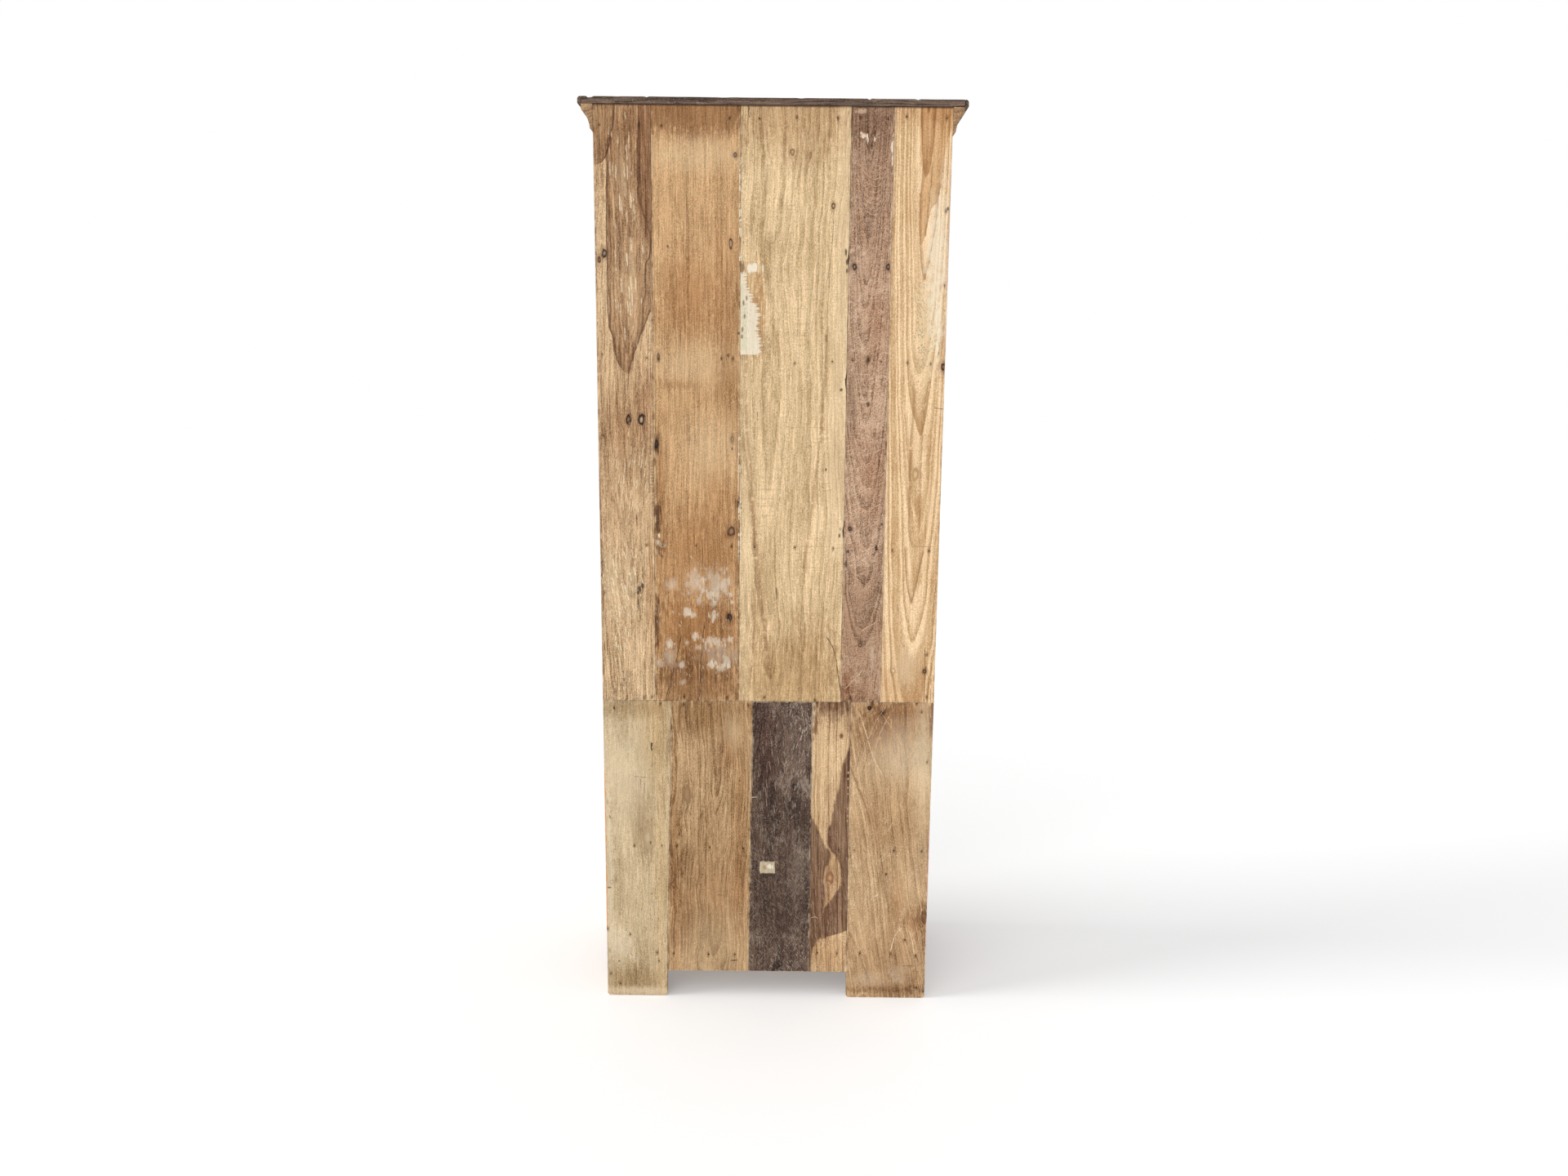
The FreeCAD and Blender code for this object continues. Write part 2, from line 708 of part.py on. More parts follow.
# Knobs: the left one is fixed, and the right one turns the latch behind the doors
def knob_section(rear_end, rear_radius):
    """Half of a turned knob, from its round face back to the shank's end at rear_end."""
    return [
        (-size.knob_length, 0),
        (-size.knob_length, size.knob_radius),
        (size.knob_rim - size.knob_length, size.knob_radius),
        (-size.knob_neck_length, size.knob_neck_radius),
        (-size.knob_foot_length, size.knob_neck_radius),
        (-size.knob_foot_length, size.knob_foot_radius),
        (0, size.knob_foot_radius),
        (0, rear_radius),
        (rear_end, rear_radius),
        (rear_end, 0),
    ]


def knob(label, hand, rear_end):
    """A turned knob on the meeting stile, on the spindle's axis."""
    x = door_hinge_x(hand) + (door_width - size.door_stile_width / 2) * hand
    body = new_body(label, x, front_y, size.knob_height)
    turn(body, [knob_section(rear_end, size.spindle_radius)], "H_Axis")
    return body


latch_front = size.door_thickness + size.latch_clearance
latch_back = latch_front + size.latch_thickness
knob("left_knob", LEFT, size.knob_spigot_length)
knob("latch_knob", RIGHT, latch_back + size.spindle_end)

latch_x = door_hinge_x(RIGHT) + (door_width - size.door_stile_width / 2) * RIGHT
tongue_body = new_body("latch_tongue", latch_x, front_y, size.knob_height)
half_tongue = size.latch_width / 2
end_radius = size.latch_width * LATCH_END_SHARE
tongue_outline = [
    (-half_tongue, -half_tongue),
    (half_tongue, -half_tongue),
    (half_tongue, size.latch_reach - half_tongue, end_radius, "right"),
    (-half_tongue, size.latch_reach - half_tongue),
]
extrude(tongue_body, "front", [tongue_outline], latch_front, latch_back)
extrude(tongue_body, "front", [circle(0, 0, size.spindle_radius)], latch_front, latch_back,
        cut=True)


# Bolts on the back of the left door: one shoots up behind the top rail, one down into the bottom
bolt_x = -(size.door_gap / 2 + size.bolt_inset)
bolt_y = door_back_y + size.bolt_standoff
door_top = door_bottom + door_height
guide_front = door_back_y + size.bolt_plate_thickness
guide_back = bolt_y + size.bolt_radius + size.bolt_guide_wall


def bolt_rod(label, end, direction):
    """A bolt with its end at a height, running back along the door, and its handle."""
    body = new_body(label, bolt_x, bolt_y, end)
    extrude(body, "plan", [circle(0, 0, size.bolt_radius)], 0, size.bolt_length * direction)
    handle_z = size.bolt_length * BOLT_HANDLE_SHARE * direction
    extrude(body, "front", [circle(0, handle_z, size.bolt_radius)], 0, size.bolt_handle_length)


top_bolt_end = door_top - size.bolt_setback
bottom_bolt_end = door_bottom + size.bolt_setback
bolt_rod("top_bolt", top_bolt_end, -1)
bolt_rod("bottom_bolt", bottom_bolt_end, 1)

guides = new_body("bolt_guides", bolt_x, door_back_y, 0, several=True)
plates = []
blocks = []
for end, direction in ((top_bolt_end, -1), (bottom_bolt_end, 1)):
    half_plate = size.bolt_plate_width / 2
    half_block = size.bolt_guide_width / 2
    plates.append(rectangle(-half_plate, end, half_plate, end + size.bolt_length * direction))
    for share in BOLT_GUIDE_SHARES:
        low = end + size.bolt_length * share * direction
        blocks.append(rectangle(-half_block, low, half_block,
                                low + size.bolt_guide_length * direction))
extrude(guides, "front", plates, 0, size.bolt_plate_thickness)
extrude(guides, "front", blocks, size.bolt_plate_thickness, guide_back - door_back_y)
guide_bore = circle(0, size.bolt_standoff, size.bolt_radius + size.bolt_clearance)
extrude(guides, "plan", [guide_bore], door_bottom, door_top, cut=True)

keeper_bottom = opening_top + size.keeper_gap
keeper_body = new_body("top_bolt_keeper", bolt_x, frame_back_y, keeper_bottom)
keeper_radius = size.bolt_radius + size.keeper_clearance
keeper_outline = rectangle(-size.bolt_guide_width / 2, 0, size.bolt_guide_width / 2,
                           size.bolt_guide_length)
extrude(keeper_body, "front", [keeper_outline], 0, guide_back - frame_back_y)
extrude(keeper_body, "plan", [circle(0, bolt_y - frame_back_y, keeper_radius)],
        0, size.bolt_guide_length, cut=True)

# Every object is computed and sound before anything is written
doc.recompute()
bodies = [item for item in doc.Objects if item.TypeId == "PartDesign::Body"]
for item in doc.Objects:
    if "Invalid" in item.State or "Error" in item.State:
        raise RuntimeError(f"{item.Label} failed: {item.State}")
    if item.TypeId == "PartDesign::Pocket":
        if item.Shape.Volume >= item.BaseFeature.Shape.Volume:
            raise RuntimeError(f"{item.Label} cuts nothing")
for body in bodies:
    if body.Shape.isNull() or not body.Shape.isValid():
        raise RuntimeError(f"{body.Label} has no sound shape")

os.makedirs("parts", exist_ok=True)
for body in bodies:
    body.Shape.exportStep(f"parts/{body.Label}.step")
print(f"{len(bodies)} pieces written")
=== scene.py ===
"""Dresses the tall two-door cupboard in worn old boards, old paint and iron.

Lengths are millimetres wherever a place on a board is given, and metres in the meshes.
The boarded back faces +Y, the doors face -Y, and the floor is Z = 0.
"""
from __future__ import annotations

import logging
import math
from collections.abc import Callable, Iterable, Sequence
from dataclasses import dataclass, field, replace
from enum import Enum

import bmesh
import bpy
from mathutils import Matrix, Vector, noise

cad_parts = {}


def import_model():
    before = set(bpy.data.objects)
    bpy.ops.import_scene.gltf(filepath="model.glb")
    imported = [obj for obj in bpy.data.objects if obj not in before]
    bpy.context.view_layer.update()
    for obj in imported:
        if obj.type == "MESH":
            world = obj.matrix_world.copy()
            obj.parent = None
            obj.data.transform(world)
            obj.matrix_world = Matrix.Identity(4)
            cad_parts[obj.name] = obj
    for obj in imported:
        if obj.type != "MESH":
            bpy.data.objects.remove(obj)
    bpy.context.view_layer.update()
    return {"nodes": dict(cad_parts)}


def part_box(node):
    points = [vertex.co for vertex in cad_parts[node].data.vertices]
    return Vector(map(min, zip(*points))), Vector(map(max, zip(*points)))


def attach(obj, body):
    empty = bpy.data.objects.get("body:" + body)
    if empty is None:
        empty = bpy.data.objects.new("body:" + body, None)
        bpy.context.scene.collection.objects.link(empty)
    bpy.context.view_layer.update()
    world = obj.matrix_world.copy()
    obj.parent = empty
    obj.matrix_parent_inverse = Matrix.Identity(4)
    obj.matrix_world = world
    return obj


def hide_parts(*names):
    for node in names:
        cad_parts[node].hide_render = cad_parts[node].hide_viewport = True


log = logging.getLogger("cupboard")

MM = 0.001
Place2 = tuple[float, float]
Place3 = tuple[float, float, float]
Chip = tuple[float, float, float, float]
Colour = tuple[int, int, int]
Value = object
ORIGIN = (0.0, 0.0, 0.0)
UNITS = (1.0, 1.0, 1.0)
HALVES = (0.5, 0.5, 0.5)
FLAT = (1.0, 0.0, 1.0)
BLACK = (0.0, 0.0, 0.0, 1.0)
WHITE = (1.0, 1.0, 1.0, 1.0)


def linear(colour: Colour) -> tuple[float, float, float, float]:
    """Turns a colour as it is seen on screen into the one a shader stores.

    Args:
        colour: Red, green and blue from 0 to 255.

    Returns:
        The linear colour with full alpha.
    """
    shares = [part / 255 for part in colour]
    parts = [s / 12.92 if s <= 0.04045 else ((s + 0.055) / 1.055) ** 2.4 for s in shares]
    return (parts[0], parts[1], parts[2], 1.0)


# Shader building


class Signal:
    """A number or vector that a node puts out, for sums with +, -, * and /."""

    def __init__(self, bench: Bench, socket: bpy.types.NodeSocket) -> None:
        """Takes the socket and the bench that its sums go on."""
        self.bench = bench
        self.socket = socket

    def __add__(self, other: Value) -> Signal:
        """The sum."""
        return self.bench.sum("ADD", self, other)

    def __sub__(self, other: Value) -> Signal:
        """The difference."""
        return self.bench.sum("SUBTRACT", self, other)

    def __rsub__(self, other: Value) -> Signal:
        """The difference, the other way round."""
        return self.bench.sum("SUBTRACT", other, self)

    def __mul__(self, other: Value) -> Signal:
        """The product."""
        return self.bench.sum("MULTIPLY", self, other)

    def __truediv__(self, other: Value) -> Signal:
        """The quotient."""
        return self.bench.sum("DIVIDE", self, other)

    __radd__ = __add__
    __rmul__ = __mul__


class Bench:
    """Adds nodes to one tree and joins them."""

    def __init__(self, tree: bpy.types.NodeTree) -> None:
        """Takes the tree that the nodes go into."""
        self.tree = tree

    def node(self, kind: str, inputs: dict[str | int, Value] | None = None,
             **settings: Value) -> dict[str | int, Signal]:
        """Adds a node.

        Args:
            kind: The node's type name.
            inputs: What its inputs take, by name or number.
            settings: The node's own settings by name.

        Returns:
            The node's outputs, by name and by number.
        """
        made = self.tree.nodes.new(kind)
        for name, value in settings.items():
            setattr(made, name, value)
        for label, value in (inputs or {}).items():
            self.feed(made.inputs[label], value)
        signals = [Signal(self, socket) for socket in made.outputs]
        return dict(enumerate(signals)) | {signal.socket.name: signal for signal in signals}

    def feed(self, socket: bpy.types.NodeSocket, value: Value) -> None:
        """Joins a signal to a socket, or sets the socket's value.

        Args:
            socket: The socket that takes it.
            value: The signal or the value.
        """
        if isinstance(value, Signal):
            self.tree.links.new(value.socket, socket)
        else:
            socket.default_value = value

    def math(self, operation: str, *values: Value, clamp: bool = False) -> Signal:
        """The Math node's result on some numbers, kept between 0 and 1 where it is clamped."""
        return self.node("ShaderNodeMath", dict(enumerate(values)), operation=operation,
                         use_clamp=clamp)[0]

    def vector(self, operation: str, *values: Value) -> Signal:
        """Puts vectors through the Vector Math node.

        Args:
            operation: What it does.
            values: One or two vectors; for SCALE the second is a number.

        Returns:
            The result, a number for LENGTH and DOT_PRODUCT.
        """
        labels = (0, "Scale") if operation == "SCALE" else (0, 1)
        made = self.node("ShaderNodeVectorMath", dict(zip(labels, values)), operation=operation)
        return made["Value" if operation in ("LENGTH", "DOT_PRODUCT") else "Vector"]

    def sum(self, operation: str, first: Value, second: Value) -> Signal:
        """A sum on two numbers, on two vectors, or a vector times a number.

        Args:
            operation: ADD, SUBTRACT, MULTIPLY or DIVIDE.
            first: The first part.
            second: The second part.

        Returns:
            The result.
        """
        pair = (first, second)
        wide = [isinstance(part, tuple) or isinstance(part, Signal) and part.socket.type != "VALUE"
                for part in pair]
        if all(wide):
            return self.vector(operation, *pair)
        if any(wide):
            return self.vector("SCALE", *(pair if wide[0] else pair[::-1]))
        return self.math(operation, *pair)

    def parts(self, vector: Value) -> dict[str | int, Signal]:
        """The X, Y and Z of a vector."""
        return self.node("ShaderNodeSeparateXYZ", {0: vector})

    def sized(self, place: Value, turn: Place3 = ORIGIN) -> Signal:
        """A place in millimetres, turned."""
        return self.node("ShaderNodeMapping", {
            "Vector": place, "Scale": (1 / MM,) * 3, "Rotation": turn})[0]

    def sideways(self, shift: Value) -> Signal:
        """A vector that runs along X only."""
        return self.node("ShaderNodeCombineXYZ", {"X": shift})[0]

    def random(self, value: Value) -> Signal:
        """A number from 0 to 1 that belongs to a number."""
        return self.node("ShaderNodeTexWhiteNoise", {"W": value}, noise_dimensions="1D")["Value"]

    def noise(self, place: Signal, stretch: Place3, detail: float = 2.0, rough: float = 0.5,
              colour: bool = False) -> Signal:
        """Noise at a place, with its own density along each axis.

        Args:
            place: The place in millimetres.
            stretch: How many features there are in a millimetre along X, Y and Z.
            detail: How many finer layers it has.
            rough: How strong the finer layers are.
            colour: Whether three values come out instead of one.

        Returns:
            The noise.
        """
        return self.node("ShaderNodeTexNoise", {
            "Vector": place * stretch, "Scale": 1.0, "Detail": detail, "Roughness": rough,
        })["Color" if colour else "Fac"]

    def fade(self, value: Value, start: Value, end: Value, low: Value = 0.0,
             high: Value = 1.0, even: bool = False) -> Signal:
        """A step from low at start to high at end, whichever of the two is larger.

        Args:
            value: What is compared.
            start: Where the step starts.
            end: Where it ends.
            low: The result at the start.
            high: The result at the end.
            even: Whether the step is straight rather than smooth.

        Returns:
            The result.
        """
        return self.node("ShaderNodeMapRange", dict(enumerate((value, start, end, low, high))),
                         interpolation_type="LINEAR" if even else "SMOOTHSTEP")[0]

    def mix(self, share: Value, first: Value, second: Value, blend: str = "MIX") -> Signal:
        """One colour over another.

        Args:
            share: How much of the second is laid on.
            first: The colour below.
            second: The colour on top.
            blend: The Mix node's way of laying it on.

        Returns:
            The mixed colour.
        """
        return self.node("ShaderNodeMix", {0: share, 6: first, 7: second}, data_type="RGBA",
                         blend_type=blend)[2]

    def bump(self, height: Value, strength: float, depth: float) -> Signal:
        """The normal of a relief with a depth in millimetres."""
        return self.node("ShaderNodeBump", {
            "Height": height, "Strength": strength, "Distance": depth * MM})[0]

    def surface(self, inputs: dict[str | int, Value]) -> None:
        """Gives a material its Principled surface."""
        made = self.node("ShaderNodeBsdfPrincipled", inputs)[0]
        self.node("ShaderNodeOutputMaterial", {"Surface": made})

    def direct(self) -> Signal:
        """Tells the rays that come from the camera from those that only light the scene.

        Returns:
            A mask that is 1 for rays straight from the camera or by a mirror or glass.
        """
        seen = self.node("ShaderNodeLightPath")
        return self.math("MAXIMUM", seen["Is Camera Ray"], self.math(
            "MAXIMUM", seen["Is Glossy Ray"], seen["Is Transmission Ray"]))

    def graph(self, value: Value, points: Sequence[Place2]) -> Signal:
        """Reads a smooth curve.

        Args:
            value: The place along the curve, from 0 to 1.
            points: The curve's points, rising, all between 0 and 1.

        Returns:
            The curve's height there.
        """
        height = self.node("ShaderNodeFloatCurve", {"Value": value})[0]
        mapping = height.socket.node.mapping
        line = mapping.curves[0]
        while len(line.points) < len(points):
            line.points.new(0.5, 0.5)
        for spot, point in zip(line.points, points):
            spot.location = point
            spot.handle_type = "AUTO_CLAMPED"
        mapping.update()
        return height


def fresh(holder: bpy.types.Material | bpy.types.World) -> Bench:
    """Gives a material or a world an empty tree.

    Args:
        holder: The material or the world.

    Returns:
        The bench of its tree.
    """
    holder.use_nodes = True
    holder.node_tree.nodes.clear()
    return Bench(holder.node_tree)


class Effect:
    """A shader node group that materials place, each with its own values."""

    def __init__(self, name: str, inputs: dict[str, Value], *outputs: str) -> None:
        """Makes the group's sockets.

        Args:
            name: The group's name.
            inputs: Each input's name and default; a tuple makes a vector.
            outputs: The outputs' names; a Place is a vector and the others are numbers.
        """
        self.tree = bpy.data.node_groups.new(name, "ShaderNodeTree")
        face = self.tree.interface
        for label, default in inputs.items():
            kind = "NodeSocketVector" if isinstance(default, tuple) else "NodeSocketFloat"
            face.new_socket(label, in_out="INPUT", socket_type=kind).default_value = default
        for label in outputs:
            kind = "NodeSocketVector" if label == "Place" else "NodeSocketFloat"
            face.new_socket(label, in_out="OUTPUT", socket_type=kind)
        self.bench = Bench(self.tree)
        self.given = self.bench.node("NodeGroupInput")
        self.taken = self.tree.nodes.new("NodeGroupOutput").inputs

    def put_out(self, label: str, value: Value) -> None:
        """Joins a value to one of the group's outputs."""
        self.bench.feed(self.taken[label], value)

    def place(self, bench: Bench, values: dict[str, Value]) -> dict[str | int, Signal]:
        """Places the group in a material, with values for its inputs."""
        return bench.node("ShaderNodeGroup", values, node_tree=self.tree)


def grain_effect() -> Effect:
    """Growth rings round a leaning, wandering pith, with fibres along Z.

    Returns:
        The effect, whose Rings are dark late wood, Streak long fibres, Fibre fine ones, Grit
        pores and Blotch wide patches.
    """
    effect = Effect("Wood grain", {
        "Place": ORIGIN, "Pith": ORIGIN, "Lean": ORIGIN,
        "Wander": 12.0, "Ring Width": 7.0, "Seed": 0.0,
    }, "Rings", "Streak", "Fibre", "Grit", "Blotch")
    bench, given = effect.bench, effect.given
    near = given["Place"] - given["Pith"]
    bent = near - given["Lean"] * bench.parts(near)["Z"]
    fibres = bent * FLAT + near * (0.0, 1.0, 0.0)
    fibres = fibres + (311.0, 173.0, 907.0) * given["Seed"]
    drift = bench.noise(fibres, (0.008, 0.008, 0.0026), 3.0, 0.5, colour=True)
    drift = (drift - HALVES) * (given["Wander"] * 4.0)
    away = (bent + drift) * (1.0, 1.0, 0.0)
    turns = bench.vector("LENGTH", away) / given["Ring Width"]
    beat = bench.node("ShaderNodeTexNoise", {"W": turns + given["Seed"], "Scale": 0.55},
                      noise_dimensions="1D")
    turns = turns + beat["Fac"] * 2.2
    saw = bench.math("FRACT", turns)
    ring = bench.fade(saw, 0.15, 0.88) * bench.fade(saw, 1.0, 0.9)
    own_strength = bench.fade(bench.random(bench.math("FLOOR", turns)), 0.0, 1.0, 0.4, 1.0)
    effect.put_out("Rings", ring * own_strength)
    fibres = fibres + drift * (0.6, 0.6, 0.0)
    effect.put_out("Streak", bench.noise(fibres, (0.2, 0.2, 0.0055), 4.0, 0.66))
    effect.put_out("Fibre", bench.noise(fibres, (0.46, 0.46, 0.02), 4.0, 0.72))
    effect.put_out("Grit", bench.noise(fibres, (0.5, 0.5, 0.32), 3.0, 0.75))
    effect.put_out("Blotch", bench.noise(fibres, (0.02, 0.02, 0.0075), 3.0, 0.55))
    return effect


def knot_effect() -> Effect:
    """A knot that the fibres flow round.

    Returns:
        The effect, whose Place goes on to the grain, Core is the knot, Rim its dark edge and
        Halo the darker wood round it.
    """
    effect = Effect("Knot", {
        "Place": ORIGIN, "Knot": ORIGIN, "Radius": 5.0, "Stretch": 1.6, "Ragged": 0.0,
    }, "Place", "Core", "Rim", "Halo")
    bench, given = effect.bench, effect.given
    away = bench.parts(given["Place"] - given["Knot"])
    tall = away["Z"] / given["Stretch"]
    square = bench.math("POWER", away["X"], 2.0) + bench.math("POWER", tall, 2.0)
    share = bench.math("POWER", given["Radius"], 2.0) / (square + 0.01)
    pull = bench.math("MINIMUM", share, 1.0) * away["X"]
    effect.put_out("Place", given["Place"] - bench.sideways(pull))
    reach = bench.math("SQRT", square) / given["Radius"]
    reach = bench.math("MULTIPLY_ADD", given["Ragged"], 1.6, reach)
    effect.put_out("Core", bench.fade(reach, 1.15, 0.7))
    inner = bench.fade(reach, 0.3, 0.9)
    effect.put_out("Rim", inner * bench.fade(reach, 1.5, 1.1))
    effect.put_out("Halo", bench.fade(reach, 3.4, 0.8))
    return effect


def spot_effect() -> Effect:
    """A ragged oval patch.

    Returns:
        The effect, whose Mask is 1 inside the oval.
    """
    effect = Effect("Spot", {
        "Place": ORIGIN, "Middle": ORIGIN, "Reach": UNITS,
        "Softness": 0.4, "Ragged": 0.0, "Amount": 1.0, "Strength": 1.0,
    }, "Mask")
    bench, given = effect.bench, effect.given
    away = (given["Place"] - given["Middle"]) / given["Reach"]
    far = bench.math("MULTIPLY_ADD", given["Ragged"], given["Amount"],
                     bench.vector("LENGTH", away))
    effect.put_out("Mask", bench.fade(far, 1.0 + given["Softness"], 1.0 - given["Softness"],
                                      0.0, given["Strength"]))
    return effect


def hatch_effect() -> Effect:
    """Many short slanted strokes in loose columns.

    Returns:
        The effect, whose Mask is 1 on the strokes.
    """
    effect = Effect("Hatch", {
        "Place": ORIGIN, "Pitch": 3.0, "Length": 16.0, "Slant": 0.1, "Share": 0.5,
    }, "Mask")
    bench, given = effect.bench, effect.given
    parts = bench.parts(given["Place"])
    across = (parts["X"] - parts["Z"] * given["Slant"]) / given["Pitch"]
    column = bench.math("FLOOR", across)
    along = parts["Z"] / given["Length"] + bench.random(column) * 7.0
    cell = bench.node("ShaderNodeCombineXYZ", {"X": column, "Y": bench.math("FLOOR", along)})[0]
    own = bench.node("ShaderNodeTexWhiteNoise", {"Vector": cell}, noise_dimensions="2D")
    centre = bench.math("ABSOLUTE", bench.math("FRACT", across) - 0.5)
    reach = bench.math("ABSOLUTE", bench.math("FRACT", along) - 0.5)
    taper = bench.fade(reach, 0.5, 0.3)
    mask = bench.fade(centre, bench.math("MULTIPLY_ADD", taper, 0.3, 0.05), 0.05)
    there = bench.fade(given["Share"] - own["Value"], 0.0, 0.15)
    effect.put_out("Mask", mask * taper * there)
    return effect


def unbroken(effect: Effect) -> Signal:
    """Breaks a line up.

    Args:
        effect: The line's effect, with Place and Gaps among its inputs.

    Returns:
        A mask with gaps along the line, more of them the larger Gaps is.
    """
    bench, given = effect.bench, effect.given
    patches = bench.noise(given["Place"], (0.07, 0.07, 0.07), 3.0, 0.75)
    return bench.fade(patches, given["Gaps"], given["Gaps"] + 0.05)


def stroke_effect() -> Effect:
    """A straight stroke of uneven width.

    Returns:
        The effect, whose Mask is 1 along the stroke.
    """
    effect = Effect("Stroke", {
        "Place": ORIGIN, "Start": ORIGIN, "End": UNITS,
        "Width": 1.0, "Uneven": 0.5, "Gaps": 0.0, "Strength": 1.0,
    }, "Mask")
    bench, given = effect.bench, effect.given
    run = given["End"] - given["Start"]
    away = (given["Place"] - given["Start"]) * FLAT
    share = bench.math("DIVIDE", bench.vector("DOT_PRODUCT", away, run),
                       bench.vector("DOT_PRODUCT", run, run), clamp=True)
    beside = bench.vector("LENGTH", away - run * share)
    width = given["Width"] * bench.fade(given["Uneven"], 0.3, 0.7, 0.4, 1.3)
    ends = bench.fade(share, -0.01, 0.12, 0.35, 1.0) * bench.fade(share, 1.01, 0.88, 0.35, 1.0)
    near = beside / (width * ends)
    mask = bench.fade(near, 1.0, 0.3) * given["Strength"]
    effect.put_out("Mask", mask * unbroken(effect))
    return effect


def stretch_effect() -> Effect:
    """Where a place is along a curve's run and across it.

    Returns:
        The effect, whose Share runs from 0 to 1 along the curve, Held is the same kept to its
        ends, and Side is the place across it.
    """
    effect = Effect("Stretch", {"Place": ORIGIN, "Start": 0.0, "Length": 1.0, "Lies": 0.0},
                    "Share", "Held", "Side")
    bench, given = effect.bench, effect.given
    parts = bench.parts(given["Place"])
    slant = (parts["X"] - parts["Z"]) * given["Lies"]
    along = parts["Z"] + slant
    share = (along - given["Start"]) / given["Length"]
    effect.put_out("Share", share)
    effect.put_out("Held", bench.math("ADD", share, 0.0, clamp=True))
    effect.put_out("Side", parts["X"] - slant)
    return effect


def curve_effect() -> Effect:
    """A line of uneven width along a curve, and the darker wood on one side of it.

    Returns:
        The effect, whose Mask is 1 on the line and Shade is 1 just beside it.
    """
    effect = Effect("Curve", {
        "Place": ORIGIN, "Share": 0.0, "Side": 0.0, "Graph": 0.0, "Low": 0.0, "Span": 1.0,
        "Width": 1.0, "Uneven": 0.5, "Gaps": 0.0, "Strength": 1.0, "Shade": 1.0,
    }, "Mask", "Shade")
    bench, given = effect.bench, effect.given
    away = given["Side"] - bench.math("MULTIPLY_ADD", given["Graph"], given["Span"], given["Low"])
    inside = bench.fade(given["Share"], -0.02, 0.06) * bench.fade(given["Share"], 1.02, 0.94)
    inside = inside * unbroken(effect)
    width = given["Width"] * bench.fade(given["Uneven"], 0.3, 0.7, 0.45, 1.35)
    near = bench.math("ABSOLUTE", away) / width
    mask = bench.fade(near, 1.0, 0.3) * inside
    effect.put_out("Mask", mask * given["Strength"])
    beyond = away / given["Shade"]
    side = bench.fade(beyond, 0.0, 0.08) * bench.fade(beyond, 1.0, 0.0)
    effect.put_out("Shade", side * inside * 0.5)
    return effect


def bound_effect() -> Effect:
    """The wood on one side of a curve.

    Returns:
        The effect, whose Mask is the given mask where the place is on the curve's inner side.
    """
    effect = Effect("Bound", {
        "Mask": 1.0, "Share": 0.0, "Side": 0.0, "Graph": 0.0, "Low": 0.0, "Span": 1.0,
        "Sign": 1.0, "Soft": 3.0, "Length": 100.0,
    }, "Mask")
    bench, given = effect.bench, effect.given
    away = given["Side"] - bench.math("MULTIPLY_ADD", given["Graph"], given["Span"], given["Low"])
    away = away * given["Sign"] / given["Soft"]
    slack = given["Soft"] / given["Length"]
    ends = (bench.fade(given["Share"], slack * -1.0, slack)
            * bench.fade(1.0 - given["Share"], slack * -1.0, slack))
    mask = bench.fade(away, -0.5, 0.5) * ends
    effect.put_out("Mask", mask * given["Mask"])
    return effect


def scratch_effect() -> Effect:
    """Fine scratches that all run roughly one way, in worn places only.

    Returns:
        The effect, whose Mask is 1 in a scratch.
    """
    effect = Effect("Scratches", {"Place": ORIGIN, "Turn": 0.0, "Amount": 0.5}, "Mask")
    bench, given = effect.bench, effect.given
    turned = bench.node("ShaderNodeVectorRotate", {
        "Vector": given["Place"], "Angle": given["Turn"]}, rotation_type="Y_AXIS")[0]
    sway = bench.noise(turned, (0.018, 0.018, 0.018), 2.0, 0.6, colour=True)
    swayed = turned + sway * 46.0
    lines = bench.noise(swayed, (0.62, 0.62, 0.026), 3.0, 0.7)
    worn = bench.noise(turned, (0.035, 0.035, 0.02), 3.0, 0.6)
    level = 0.86 - given["Amount"] * worn
    effect.put_out("Mask", bench.fade(lines, level, level + 0.06))
    return effect


def edge_effect() -> Effect:
    """How near a point on a squared piece is to one of its edges.

    Returns:
        The effect, whose Mask is 1 on an edge and 0 beyond Reach.
    """
    effect = Effect("Worn edges", {
        "Place": ORIGIN, "Middle": ORIGIN, "Half": UNITS, "Reach": 6.0, "Ragged": 0.0,
    }, "Mask")
    bench, given = effect.bench, effect.given
    away = bench.vector("ABSOLUTE", given["Place"] - given["Middle"])
    left = bench.parts(given["Half"] - away)
    pair_low = bench.math("MINIMUM", left["X"], left["Y"])
    pair_high = bench.math("MAXIMUM", left["X"], left["Y"])
    second = bench.math("MAXIMUM", pair_low, bench.math("MINIMUM", pair_high, left["Z"]))
    far = second / given["Reach"] + given["Ragged"]
    effect.put_out("Mask", bench.fade(far, 1.0, 0.1))
    return effect


def paint_effect() -> Effect:
    """Two coats of old paint that flake along the fibres.

    Returns:
        The effect, whose Top and Under are 1 where each coat is left, and Dirt is uneven.
    """
    effect = Effect("Old paint", {"Place": ORIGIN, "Kept": 0.5, "Wear": 0.0, "Seed": 0.0},
                    "Top", "Under", "Dirt")
    bench, given = effect.bench, effect.given
    seeded = given["Place"] + (97.0, 53.0, 211.0) * given["Seed"]
    wide = bench.noise(seeded, (0.014, 0.014, 0.006), 3.0, 0.55)
    flakes = bench.noise(seeded, (0.2, 0.2, 0.045), 6.0, 0.7)
    left = wide * 1.05 + flakes * 0.6 - given["Wear"] + given["Kept"]
    effect.put_out("Top", bench.fade(left, 1.3, 1.35))
    effect.put_out("Under", bench.fade(left, 1.2, 1.24))
    effect.put_out("Dirt", bench.noise(seeded, (0.05, 0.05, 0.012), 5.0, 0.6))
    return effect


